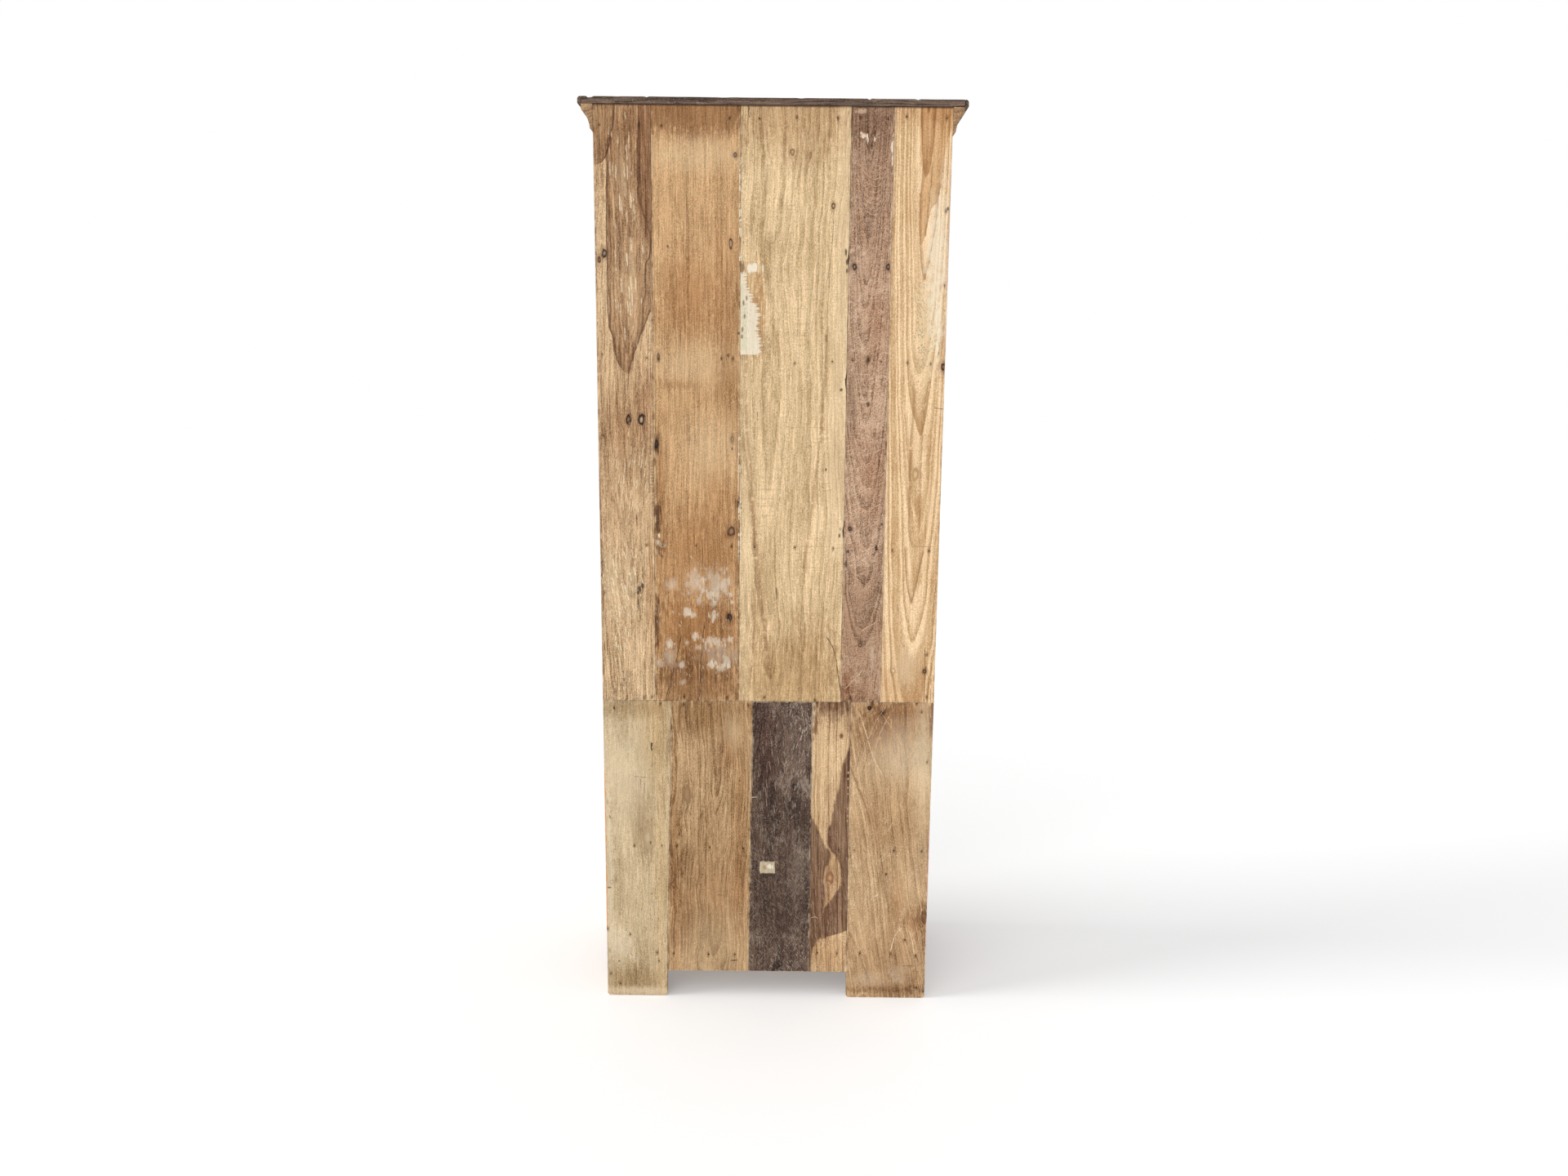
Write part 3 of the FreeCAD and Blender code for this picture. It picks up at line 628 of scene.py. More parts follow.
class Effects:
    """Every effect of the cupboard's finishes, built once."""

    def __init__(self) -> None:
        """Builds the groups."""
        self.grain = grain_effect()
        self.knot = knot_effect()
        self.spot = spot_effect()
        self.hatch = hatch_effect()
        self.stroke = stroke_effect()
        self.stretch = stretch_effect()
        self.curve = curve_effect()
        self.bound = bound_effect()
        self.scratches = scratch_effect()
        self.edges = edge_effect()
        self.paint = paint_effect()


# Marks on the boards


class Lay(Enum):
    """How a mark lies on the wood: it covers it, or stains it darker."""

    COVER = "MIX"
    STAIN = "MULTIPLY"


@dataclass(frozen=True)
class Spot:
    """An oval mark, with its middle, half width and half height."""

    x: float
    z: float
    wide: float
    tall: float
    tint: Colour
    strength: float = 0.7
    soft: float = 0.5
    ragged: float = 1.0
    lay: Lay = Lay.COVER


@dataclass(frozen=True)
class Stain(Spot):
    """A soft oval mark that darkens the wood."""

    soft: float = 0.8
    lay: Lay = Lay.STAIN


@dataclass(frozen=True)
class Hatch(Spot):
    """An oval of short strokes, with their pitch, length, slant and how many are there."""

    pitch: float = 3.0
    length: float = 16.0
    slant: float = 0.1
    share: float = 0.5


@dataclass(frozen=True)
class Line:
    """A crack, growth line or scratch through points that rise in Z, or in X if it lies.

    Broken is the share of it that is missing, and shade how far to +X, or to -X below 0, the
    wood beside it is darker.
    """

    points: tuple[Place2, ...]
    tint: Colour = (98, 70, 50)
    width: float = 1.2
    strength: float = 0.7
    broken: float = 0.0
    shade: float = 0.0
    lies: bool = False


@dataclass(frozen=True)
class Zone:
    """The wood between two upright curves, such as heartwood; None is the board's own edge."""

    left: tuple[Place2, ...] | None
    right: tuple[Place2, ...] | None
    tint: Colour
    strength: float = 1.0
    soft: float = 3.0
    teeth: float = 0.0
    lay: Lay = Lay.STAIN


@dataclass(frozen=True)
class Knot:
    """A knot with its place, half width, height to width, and core and rim colours."""

    x: float
    z: float
    radius: float
    stretch: float = 1.6
    core: Colour = (132, 100, 72)
    rim: Colour = (52, 36, 28)
    halo: float = 0.35


@dataclass(frozen=True)
class Wood:
    """A board's colours and grain.

    The pith is the middle of the growth rings: its X, its depth behind the board's face and the
    height where it is so. Lean is how X and depth grow with height.
    """

    light: Colour
    dark: Colour
    ring_width: float = 7.0
    rings: float = 0.45
    streaks: float = 0.8
    fibres: float = 1.0
    blotches: float = 0.6
    pith: Place3 = (0.0, 70.0, 0.0)
    lean: Place2 = (0.0, 0.0)
    wander: float = 12.0
    flecks: float = 0.0
    saw_marks: float = 0.0
    scratches: tuple[Place3, ...] = ()
    scratch_tint: Colour = (226, 200, 168)
    seed: float = 0.0
    grit: float = 0.6


class Grain(Enum):
    """Which way the fibres run, as the turn that brings them upright."""

    UPRIGHT = (0.0, 0.0, 0.0)
    ACROSS = (0.0, -math.pi / 2, 0.0)
    FRONT_TO_BACK = (math.pi / 2, 0.0, 0.0)


DRY = (0.72, 0.9)
HANDLED = (0.45, 0.6)
FLECK_STAIN = (126, 98, 74)
SAW_STAIN = (160, 132, 104)
KNOT_STAIN = (150, 116, 88)
CURVE_STAIN = (166, 136, 108)
EDGE_STAIN = (150, 122, 96)
# Painted shadow of the cap's overhang on the top of the back boards.
PAINTED_CAP_SHADOW = (92, 70, 58)
CORNER_STAIN = (110, 80, 58)
WORN_EDGE = (236, 212, 176)
WORN_PAINT = (150, 122, 94)
# Dirt and painted shade on the bevels of raised panels.
DIRT_AND_PAINTED_SHADE = (156, 140, 124)


class WoodFinish:
    """Builds the bare wood of one board, mark by mark."""

    face_y: float = 217.0
    cap_under: float = 1999.0
    groove_below: int = 400
    groove: float = 0.6

    def __init__(self, name: str, effects: Effects, wood: Wood,
                 grain: Grain = Grain.UPRIGHT) -> None:
        """Starts a material with its places and noises.

        Args:
            name: The material's name.
            effects: The shared effects.
            wood: The board's colours and grain.
            grain: Which way its fibres run.
        """
        self.material = bpy.data.materials.new(name)
        self.bench = bench = fresh(self.material)
        self.effects = effects
        self.wood = wood
        coordinates = bench.node("ShaderNodeTexCoord")
        self.normal = coordinates["Normal"]
        self.place = bench.sized(coordinates["Object"])
        self.fibres = bench.sized(coordinates["Object"], grain.value)
        self.flat = self.place * FLAT
        wobble = bench.noise(self.place, (0.13, 0.13, 0.06), 4.0, 0.62, colour=True)
        self.uneven = bench.parts(wobble)["X"]
        self.ragged = bench.parts(wobble)["Z"] - 0.5
        self.shaken = self.flat + (wobble - HALVES) * 6.0
        self.colour: Value = None
        self.height: Value = 0.0

    def grow(self, knots: Sequence[Knot] = ()) -> None:
        """Lays down the wood's own colour, with its fibres flowing round the knots.

        Args:
            knots: The board's knots.
        """
        bench, wood = self.bench, self.wood
        laid = []
        for knot in knots:
            made = self.effects.knot.place(bench, {
                "Place": self.fibres, "Knot": (knot.x, 0.0, knot.z), "Radius": knot.radius,
                "Stretch": knot.stretch, "Ragged": self.ragged})
            self.fibres = made["Place"]
            laid.append((knot, made))
        x, depth, height = wood.pith
        grain = self.effects.grain.place(bench, {
            "Place": self.fibres, "Pith": (x, self.face_y - depth, height),
            "Lean": (wood.lean[0], -wood.lean[1], 0.0),
            "Wander": wood.wander, "Ring Width": wood.ring_width, "Seed": wood.seed})
        self.streak, self.fibre = grain["Streak"], grain["Fibre"]
        tone: Value = 0.62
        for kind, gain in (("Streak", wood.streaks * 1.5), ("Fibre", wood.fibres * 1.5),
                           ("Grit", wood.grit * 3.2), ("Blotch", wood.blotches * 1.6)):
            tone = bench.math("MULTIPLY_ADD", grain[kind] - 0.5, gain, tone)
        tone = tone - grain["Rings"] * wood.rings
        bright = tuple(min(2.0, part * 1.3) for part in linear(wood.light)[:3]) + (1.0,)
        self.colour = bench.mix(bench.fade(tone, 0.0, 1.15, even=True), linear(wood.dark), bright)
        self.height = bench.math("MULTIPLY_ADD", grain["Grit"], 0.3, self.fibre * 0.5)
        self.height = bench.math("MULTIPLY_ADD", grain["Rings"], -0.12, bench.math(
            "MULTIPLY_ADD", self.streak, 0.4, self.height))
        self.ragged = bench.math("MULTIPLY_ADD", self.fibre - 0.5, 0.7, self.ragged)
        if wood.flecks:
            specks = bench.noise(self.fibres, (0.5, 0.5, 0.07), 2.0, 0.6)
            self.lay(bench.fade(specks, 0.62, 0.72) * wood.flecks, FLECK_STAIN, Lay.STAIN)
        if wood.saw_marks:
            lines = bench.noise(self.fibres, (0.012, 0.012, 0.4), 2.0, 0.7)
            mask = bench.fade(lines, 0.5, 0.7) * bench.fade(grain["Blotch"], 0.42, 0.65)
            self.lay(mask * wood.saw_marks, SAW_STAIN, Lay.STAIN)
        for turn, amount, strength in wood.scratches:
            mask = self.effects.scratches.place(bench, {
                "Place": self.place, "Turn": math.radians(turn), "Amount": amount})["Mask"]
            self.lay(mask * strength, wood.scratch_tint, Lay.COVER)
        for knot, made in laid:
            self.lay(made["Halo"] * knot.halo, KNOT_STAIN, Lay.STAIN)
            self.lay(made["Core"] * 0.85, knot.core, Lay.COVER)
            self.lay(made["Rim"], knot.rim, Lay.COVER)
            self.sink(made["Rim"], self.groove)

    def lay(self, mask: Value, tint: Colour, lay: Lay) -> None:
        """Lays a tint over the colour so far, through a mask."""
        self.colour = self.bench.mix(mask, self.colour, linear(tint), lay.value)

    def sink(self, mask: Value, depth: float) -> None:
        """Lowers the surface by a depth in millimetres, through a mask."""
        self.height = self.height - mask * depth

    def spot(self, mark: Spot) -> None:
        """Lays an oval mark, whole or hatched.

        Args:
            mark: The mark.
        """
        mask = self.effects.spot.place(self.bench, {
            "Place": self.flat, "Middle": (mark.x, 0.0, mark.z),
            "Reach": (mark.wide, 1.0, mark.tall), "Softness": mark.soft, "Ragged": self.ragged,
            "Amount": mark.ragged * 2.0, "Strength": mark.strength})["Mask"]
        if isinstance(mark, Hatch):
            laid = self.effects.hatch.place(self.bench, {
                "Place": self.shaken, "Pitch": mark.pitch, "Length": mark.length,
                "Slant": mark.slant, "Share": mark.share})["Mask"]
            mask = mask * laid
        self.lay(mask, mark.tint, mark.lay)

    def beside(self, points: Sequence[Place2], place: Value,
               lies: bool) -> dict[str, Value]:
        """How a place stands to a curve.

        Args:
            points: The curve's points, rising in Z, or in X if it lies.
            place: The place, in millimetres.
            lies: Whether the curve runs across the cupboard rather than up it.

        Returns:
            The inputs that the curve and bound effects share.
        """
        run = [(x, z) if lies else (z, x) for x, z in points]
        start, length = run[0][0], run[-1][0] - run[0][0]
        low = min(side for _, side in run)
        span = max(max(side for _, side in run) - low, 1.0)
        made = self.effects.stretch.place(self.bench, {
            "Place": place, "Start": start, "Length": length, "Lies": float(lies)})
        graph = self.bench.graph(made["Held"],
                                 [((a - start) / length, (b - low) / span) for a, b in run])
        return {"Share": made["Share"], "Side": made["Side"], "Graph": graph, "Low": low,
                "Span": span}

    def line(self, mark: Line) -> None:
        """Lays a crack, growth line or scratch, and sinks it a little if it is dark.

        Args:
            mark: The line.
        """
        values = {"Place": self.shaken, "Width": mark.width, "Uneven": self.uneven,
                  "Gaps": 0.36 + 0.28 * mark.broken if mark.broken else -1.0,
                  "Strength": mark.strength}
        if len(mark.points) == 2 and not mark.shade:
            start, end = ((x, 0.0, z) for x, z in mark.points)
            mask = self.effects.stroke.place(self.bench, values | {
                "Start": start, "End": end})["Mask"]
        else:
            made = self.effects.curve.place(self.bench, values | self.beside(
                mark.points, self.shaken, mark.lies) | {"Shade": mark.shade or 1.0})
            mask = made["Mask"]
            if mark.shade:
                self.lay(made["Shade"], CURVE_STAIN, Lay.STAIN)
        self.lay(mask, mark.tint, Lay.COVER)
        if sum(mark.tint) < self.groove_below:
            self.sink(mask, self.groove)

    def zone(self, mark: Zone) -> None:
        """Tints the wood between two curves.

        Args:
            mark: The zone.
        """
        bench = self.bench
        mask: Value = bench.fade(self.streak, 0.3, 0.6, mark.strength, mark.strength * 0.72)
        place = self.shaken + bench.sideways((self.fibre - 0.5) * (6.0 + mark.soft))
        if mark.teeth:
            comb = bench.noise(self.place, (0.03, 0.03, 0.33), 3.0, 0.75)
            place = self.flat + bench.sideways((comb - 0.5) * mark.teeth)
        for points, sign in ((mark.left, -1.0), (mark.right, 1.0)):
            if points is not None:
                mask = self.effects.bound.place(bench, self.beside(points, place, False) | {
                    "Mask": mask, "Sign": sign, "Soft": mark.soft,
                    "Length": points[-1][1] - points[0][1]})["Mask"]
        self.lay(mask, mark.tint, mark.lay)

    def joint(self, foot: Place3, head: Place3) -> None:
        """Darkens the wood near the board's edges, paints the cap's shadow as a dark band along
        its head, and wears the edges pale.

        Args:
            foot: The board's Z, lowest X and highest X at its foot.
            head: The same at its head.
        """
        bench = self.bench
        parts = bench.parts(self.place)
        nearest: Value = 1000.0
        for low, high, sign in ((foot[1], head[1], 1.0), (foot[2], head[2], -1.0)):
            slope = (high - low) / (head[0] - foot[0])
            edge = bench.math("MULTIPLY_ADD", parts["Z"], slope, low - slope * foot[0])
            away = (parts["X"] - edge) * sign
            nearest = bench.math("MINIMUM", nearest, away)
        nearest = bench.math("MINIMUM", nearest, parts["Z"] - foot[0])
        nearest = bench.math("MINIMUM", nearest, head[0] - parts["Z"])
        rough = bench.math("MULTIPLY_ADD", self.ragged, 12.0, nearest)
        self.lay(bench.fade(rough, 6.0, 0.0, 0.0, 0.25), EDGE_STAIN, Lay.STAIN)
        pale = bench.math("MULTIPLY_ADD", self.ragged, -10.0, nearest)
        self.lay(bench.fade(pale, 2.4, 1.0, 0.0, 0.4), WORN_EDGE, Lay.COVER)
        # Painted shadow: a dark band just under the cap, where its overhang shades the board.
        under_cap = bench.math("MULTIPLY_ADD", self.ragged, 3.0, parts["Z"])
        self.lay(bench.fade(under_cap, self.cap_under - 4.0, self.cap_under, 0.0, 0.85),
                 PAINTED_CAP_SHADOW, Lay.STAIN)
        broken = bench.math("MULTIPLY_ADD", self.ragged, 3.0, nearest)
        self.lay(bench.fade(broken, 0.9, 0.2, 0.0, 0.4), CORNER_STAIN, Lay.STAIN)

    def mark_all(self, marks: Iterable[Spot | Line | Zone]) -> None:
        """Lays marks in their order.

        Args:
            marks: The marks.
        """
        ways = {Spot: self.spot, Stain: self.spot, Hatch: self.spot, Line: self.line,
                Zone: self.zone}
        for mark in marks:
            ways[type(mark)](mark)

    def finish(self, roughness: Place2 = DRY) -> bpy.types.Material:
        """Joins the colour, roughness and relief to the surface.

        Args:
            roughness: The roughness of smooth and of coarse fibres.

        Returns:
            The finished material.
        """
        bench = self.bench
        bench.surface({
            "Base Color": self.colour,
            "Roughness": bench.fade(self.streak, 0.3, 0.7, roughness[1], roughness[0]),
            "Specular IOR Level": 0.3,
            "Normal": bench.bump(self.height, 1.0, 1.0)})
        return self.material


@dataclass(frozen=True)
class Coat:
    """Old paint: its colour, the older coat under it, and how much is left."""

    top: Colour
    under: Colour = (206, 194, 164)
    kept: float = 0.62
    wear: float = 0.45
    seed: float = 0.0


class PaintedFinish(WoodFinish):
    """Old paint over a board, worn off its edges and left off its hidden side, with dirt and
    painted shade on a raised panel's bevel.
    """

    def coat(self, coat: Coat, low: Vector, high: Vector, bare: Place3 | None = None,
             ridge: float = 0.0) -> None:
        """Lays both coats.

        Args:
            coat: The paint.
            low: The piece's lowest corner in metres.
            high: The piece's highest corner in metres.
            bare: The direction of the side that was never painted, if any.
            ridge: How far inside the outline a panel's worn ridge runs, with dirt and painted
                shade past it.
        """
        bench = self.bench
        middle = (low + high) / 2 / MM
        half = (high - low) / 2 / MM
        ragged = self.ragged * 1.6
        near = self.effects.edges.place(bench, {
            "Place": self.place, "Middle": tuple(middle), "Half": tuple(half),
            "Reach": 9.0, "Ragged": ragged})["Mask"]
        bevel_dirt_and_shade: Value = 0.0
        if ridge:
            away = bench.parts(tuple(half) - bench.vector("ABSOLUTE", self.place - tuple(middle)))
            inset_by = bench.math("MULTIPLY_ADD", self.ragged, 5.0,
                                  bench.math("MINIMUM", away["X"], away["Z"]))
            off_ridge = bench.math("ABSOLUTE", inset_by - ridge)
            handled = bench.noise(self.place, (0.011, 0.011, 0.007), 2.0, 0.6)
            near = bench.fade(off_ridge, 5.0, 0.0, 0.0, 0.7) * bench.fade(handled, 0.4, 0.6)
            # Dirt and painted shade: the bevel darkens from the ridge towards the frame, as a
            # recess would be shaded.
            bevel_dirt_and_shade = bench.fade(inset_by, ridge + 1.5, ridge - 15.0, 0.12, 1.0)
        left = self.effects.paint.place(bench, {"Place": self.fibres, "Kept": coat.kept,
                                                "Seed": coat.seed, "Wear": near * coat.wear})
        top, under = left["Top"], left["Under"]
        if bare:
            facing = bench.vector("DOT_PRODUCT", self.normal, bare)
            painted = bench.fade(facing, 0.6, 0.35)
            top = top * painted
            under = under * painted
        grain = bench.fade(self.streak, 0.25, 0.75, 0.82, 1.06)
        shade = grain * bench.fade(left["Dirt"], 0.25, 0.8, 0.72, 1.12)
        for mask, tint in ((under, coat.under), (top, coat.top)):
            tone = bench.mix(1.0, linear(tint), bench.mix(shade, BLACK, WHITE), "MULTIPLY")
            self.colour = bench.mix(mask, self.colour, tone)
        rubbed = self.effects.scratches.place(bench, {
            "Place": self.place, "Turn": 0.35, "Amount": 0.42})["Mask"]
        self.lay(rubbed * 0.5, WORN_PAINT, Lay.COVER)
        self.lay(bevel_dirt_and_shade, DIRT_AND_PAINTED_SHADE, Lay.STAIN)
        self.height = self.height + (under * 0.12 + top * 0.16)


# The back boards as they look

SOOT = (58, 42, 34)
UMBER = (98, 70, 50)
BARK = (128, 96, 68)
HONEY = (176, 132, 88)
SAND = (212, 182, 154)
PIPE = (40, 30, 25)
CHALK = (244, 234, 212)
BLOOM = (236, 222, 200)
PALE = (240, 214, 174)
CREAM = (255, 242, 210)
NAIL_STAIN = (130, 98, 72)


@dataclass(frozen=True)
class BackBoard:
    """One board of the back: its wood, knots, marks, chipped edges and how far it is worn."""

    wood: Wood
    knots: tuple[Knot, ...] = ()
    marks: tuple[Spot | Line | Zone, ...] = ()
    chips: tuple[Chip, ...] = ()
    sunk: float = 0.4


def bloom(*places: tuple[float, ...]) -> tuple[Spot, ...]:
    """Whitish bloom in soft spots, each given as X, Z, half width, half height and strength."""
    return tuple(Spot(x, z, wide * 1.15, tall * 1.15, BLOOM, strength * 0.78, 0.6, 2.4)
                 for x, z, wide, tall, strength in places)


def pits(tint: Colour, *places: tuple[float, float, float, float]) -> tuple[Spot, ...]:
    """Small dark pits or holes, each given as X, Z, half width and half height."""
    return tuple(Spot(x, z, wide, tall, tint, 0.8, 0.45, 0.9) for x, z, wide, tall in places)


def strokes(tint: Colour, *places: tuple[float, ...]) -> tuple[Line, ...]:
    """Straight upright marks, each given as two X and Z places, width and strength."""
    return tuple(Line(((x0, z0), (x1, z1)), tint, width, strength)
                 for x0, z0, x1, z1, width, strength in places)


def scores(tint: Colour, *places: tuple[float, ...]) -> tuple[Line, ...]:
    """Straight marks across, each given as two X and Z places, width and strength."""
    return tuple(Line(((x0, z0), (x1, z1)), tint, width, strength, lies=True)
                 for x0, z0, x1, z1, width, strength in places)


FLAKES = ((1735, 1896), (1686, 1703), (1226, 1323), (1136, 1190), (1076, 1106), (1047, 1074))

FORKED_BOARD = BackBoard(
    Wood((232, 200, 158), (122, 88, 54), 5.5, 0.28, 0.8, 1.2, 0.6, (306.0, 62.0, 722.0),
         (0.0, -0.045), 10.0, 0.3, 0.0, ((4.0, 0.46, 0.6), (-5.0, 0.5, 0.5)), (240, 212, 172),
         1.3),
    knots=(
        Knot(308, 1352, 4.6, 1.8, (150, 120, 88)), Knot(281, 1352, 5.6, 1.7, (226, 208, 178)),
        Knot(355, 1700, 4.4, 1.6, (150, 128, 104), SOOT, 0.6),
        Knot(365, 1686, 3.0, 1.9, BARK, UMBER),
    ),
    marks=(
        Zone(((312, 1449), (327, 1469), (334, 1489), (340, 1529), (347, 1554), (349, 1658),
              (349, 1801), (345, 1893), (347, 1898), (334, 1955), (330, 2001)),
             ((304, 1449), (304, 1458), (296, 1484), (285, 1518), (270, 1555), (256, 1586),
              (240, 1620), (240, 2001)), (206, 188, 176), 0.95),
        Zone(((400, 1878), (400, 2001)),
             ((374, 1878), (362, 1881), (347, 1898), (334, 1955), (329, 2001)), (190, 170, 152),
             0.9),
        Zone(((257, 1700), (284, 1834), (281, 2001)), ((230, 1700), (230, 2001)), (196, 174, 162),
             0.85, 2.0),
        Line(((312, 1449), (327, 1469), (334, 1489), (340, 1529), (347, 1554), (349, 1658),
              (349, 1801), (345, 1893)), UMBER, 1.9, 0.85, shade=-10),
        Line(((374, 1880), (362, 1882), (347, 1900), (334, 1955), (328, 2001)), UMBER, 1.7, 0.85,
             shade=9),
        Line(((304, 1450), (304, 1458), (296, 1484), (285, 1518), (270, 1555), (256, 1588)),
             (112, 82, 60), 2.8, 0.8, shade=14),
        Line(((277, 1592), (268, 1634), (268, 1668), (260, 1695), (257, 1723), (262, 1752),
              (274, 1788), (282, 1834), (280, 1990)), UMBER, 1.7, 0.85, shade=-8),
        Line(((290, 1805), (298, 1856), (294, 1996)), (150, 104, 74), 1.7, 0.6),
        Line(((318, 1640), (322, 1800), (316, 1990)), (150, 118, 90), 1.4, 0.45, 0.3),
        Line(((372, 1540), (372, 1700), (369, 1870)), (160, 112, 82), 1.8, 0.6, 0.3),
        Hatch(304, 1640, 22, 150, CREAM, 0.75, 0.6, 2.0, pitch=5.0, length=34, slant=0.05,
              share=0.3),
        Hatch(312, 1850, 30, 110, CREAM, 0.7, 0.6, 2.0, pitch=6.0, length=40, slant=0.02,
              share=0.28),
        Hatch(304, 1240, 34, 90, CREAM, 0.9, 0.5, 1.6, pitch=5.0, length=26, slant=-0.12,
              share=0.4),
        Hatch(325, 1000, 40, 70, CREAM, 0.85, 0.5, 2.0, pitch=6.0, length=24, slant=0.25,
              share=0.4),
        Hatch(330, 880, 40, 130, CREAM, 0.6, 0.7, 2.0, pitch=5.0, length=16, slant=0.1, share=0.3),
        Hatch(357, 1560, 14, 130, PALE, 0.6, 0.7, 2.0, pitch=5.0, length=50, slant=0.0,
              share=0.35),
        Spot(301, 1640, 9, 60, PALE, 0.25, 0.7, 1.8),
        Spot(317, 1860, 12, 50, PALE, 0.25, 0.7, 1.8),
        Stain(270, 1385, 20, 75, (214, 184, 168), 0.5),
        Stain(320, 1330, 30, 60, (226, 204, 184), 0.4),
        Spot(350, 1010, 12, 60, PALE, 0.35, 0.6, 2.0), Spot(312, 985, 14, 45, PALE, 0.3, 0.6, 2.0),
        Stain(376, 1000, 6, 300, (186, 168, 156), 0.5),
        Stain(260, 960, 12, 120, (214, 186, 156), 0.5),
        Stain(315, 1300, 70, 210, (222, 210, 200), 0.8, 0.9),
        Stain(315, 1930, 70, 90, (226, 210, 196), 0.7, 0.9),
        *(Line(((246, z), (264, z + 1)), PALE, 1.2, 0.6, lies=True)
          for z in (1247, 1240, 1234, 1227, 1221, 1214, 1207, 1190, 1182, 1175)),
        *pits(PIPE, (289, 978, 4, 8), (292, 970, 4, 5), (282, 985, 3, 5), (291, 945, 1.2, 14)),
        Line(((293, 1120), (293, 1146)), SOOT, 1.4, 0.8),
        *pits(UMBER, (288, 1285, 2, 3), (293, 1137, 1.5, 5)),
    ),
    sunk=0.35,
)

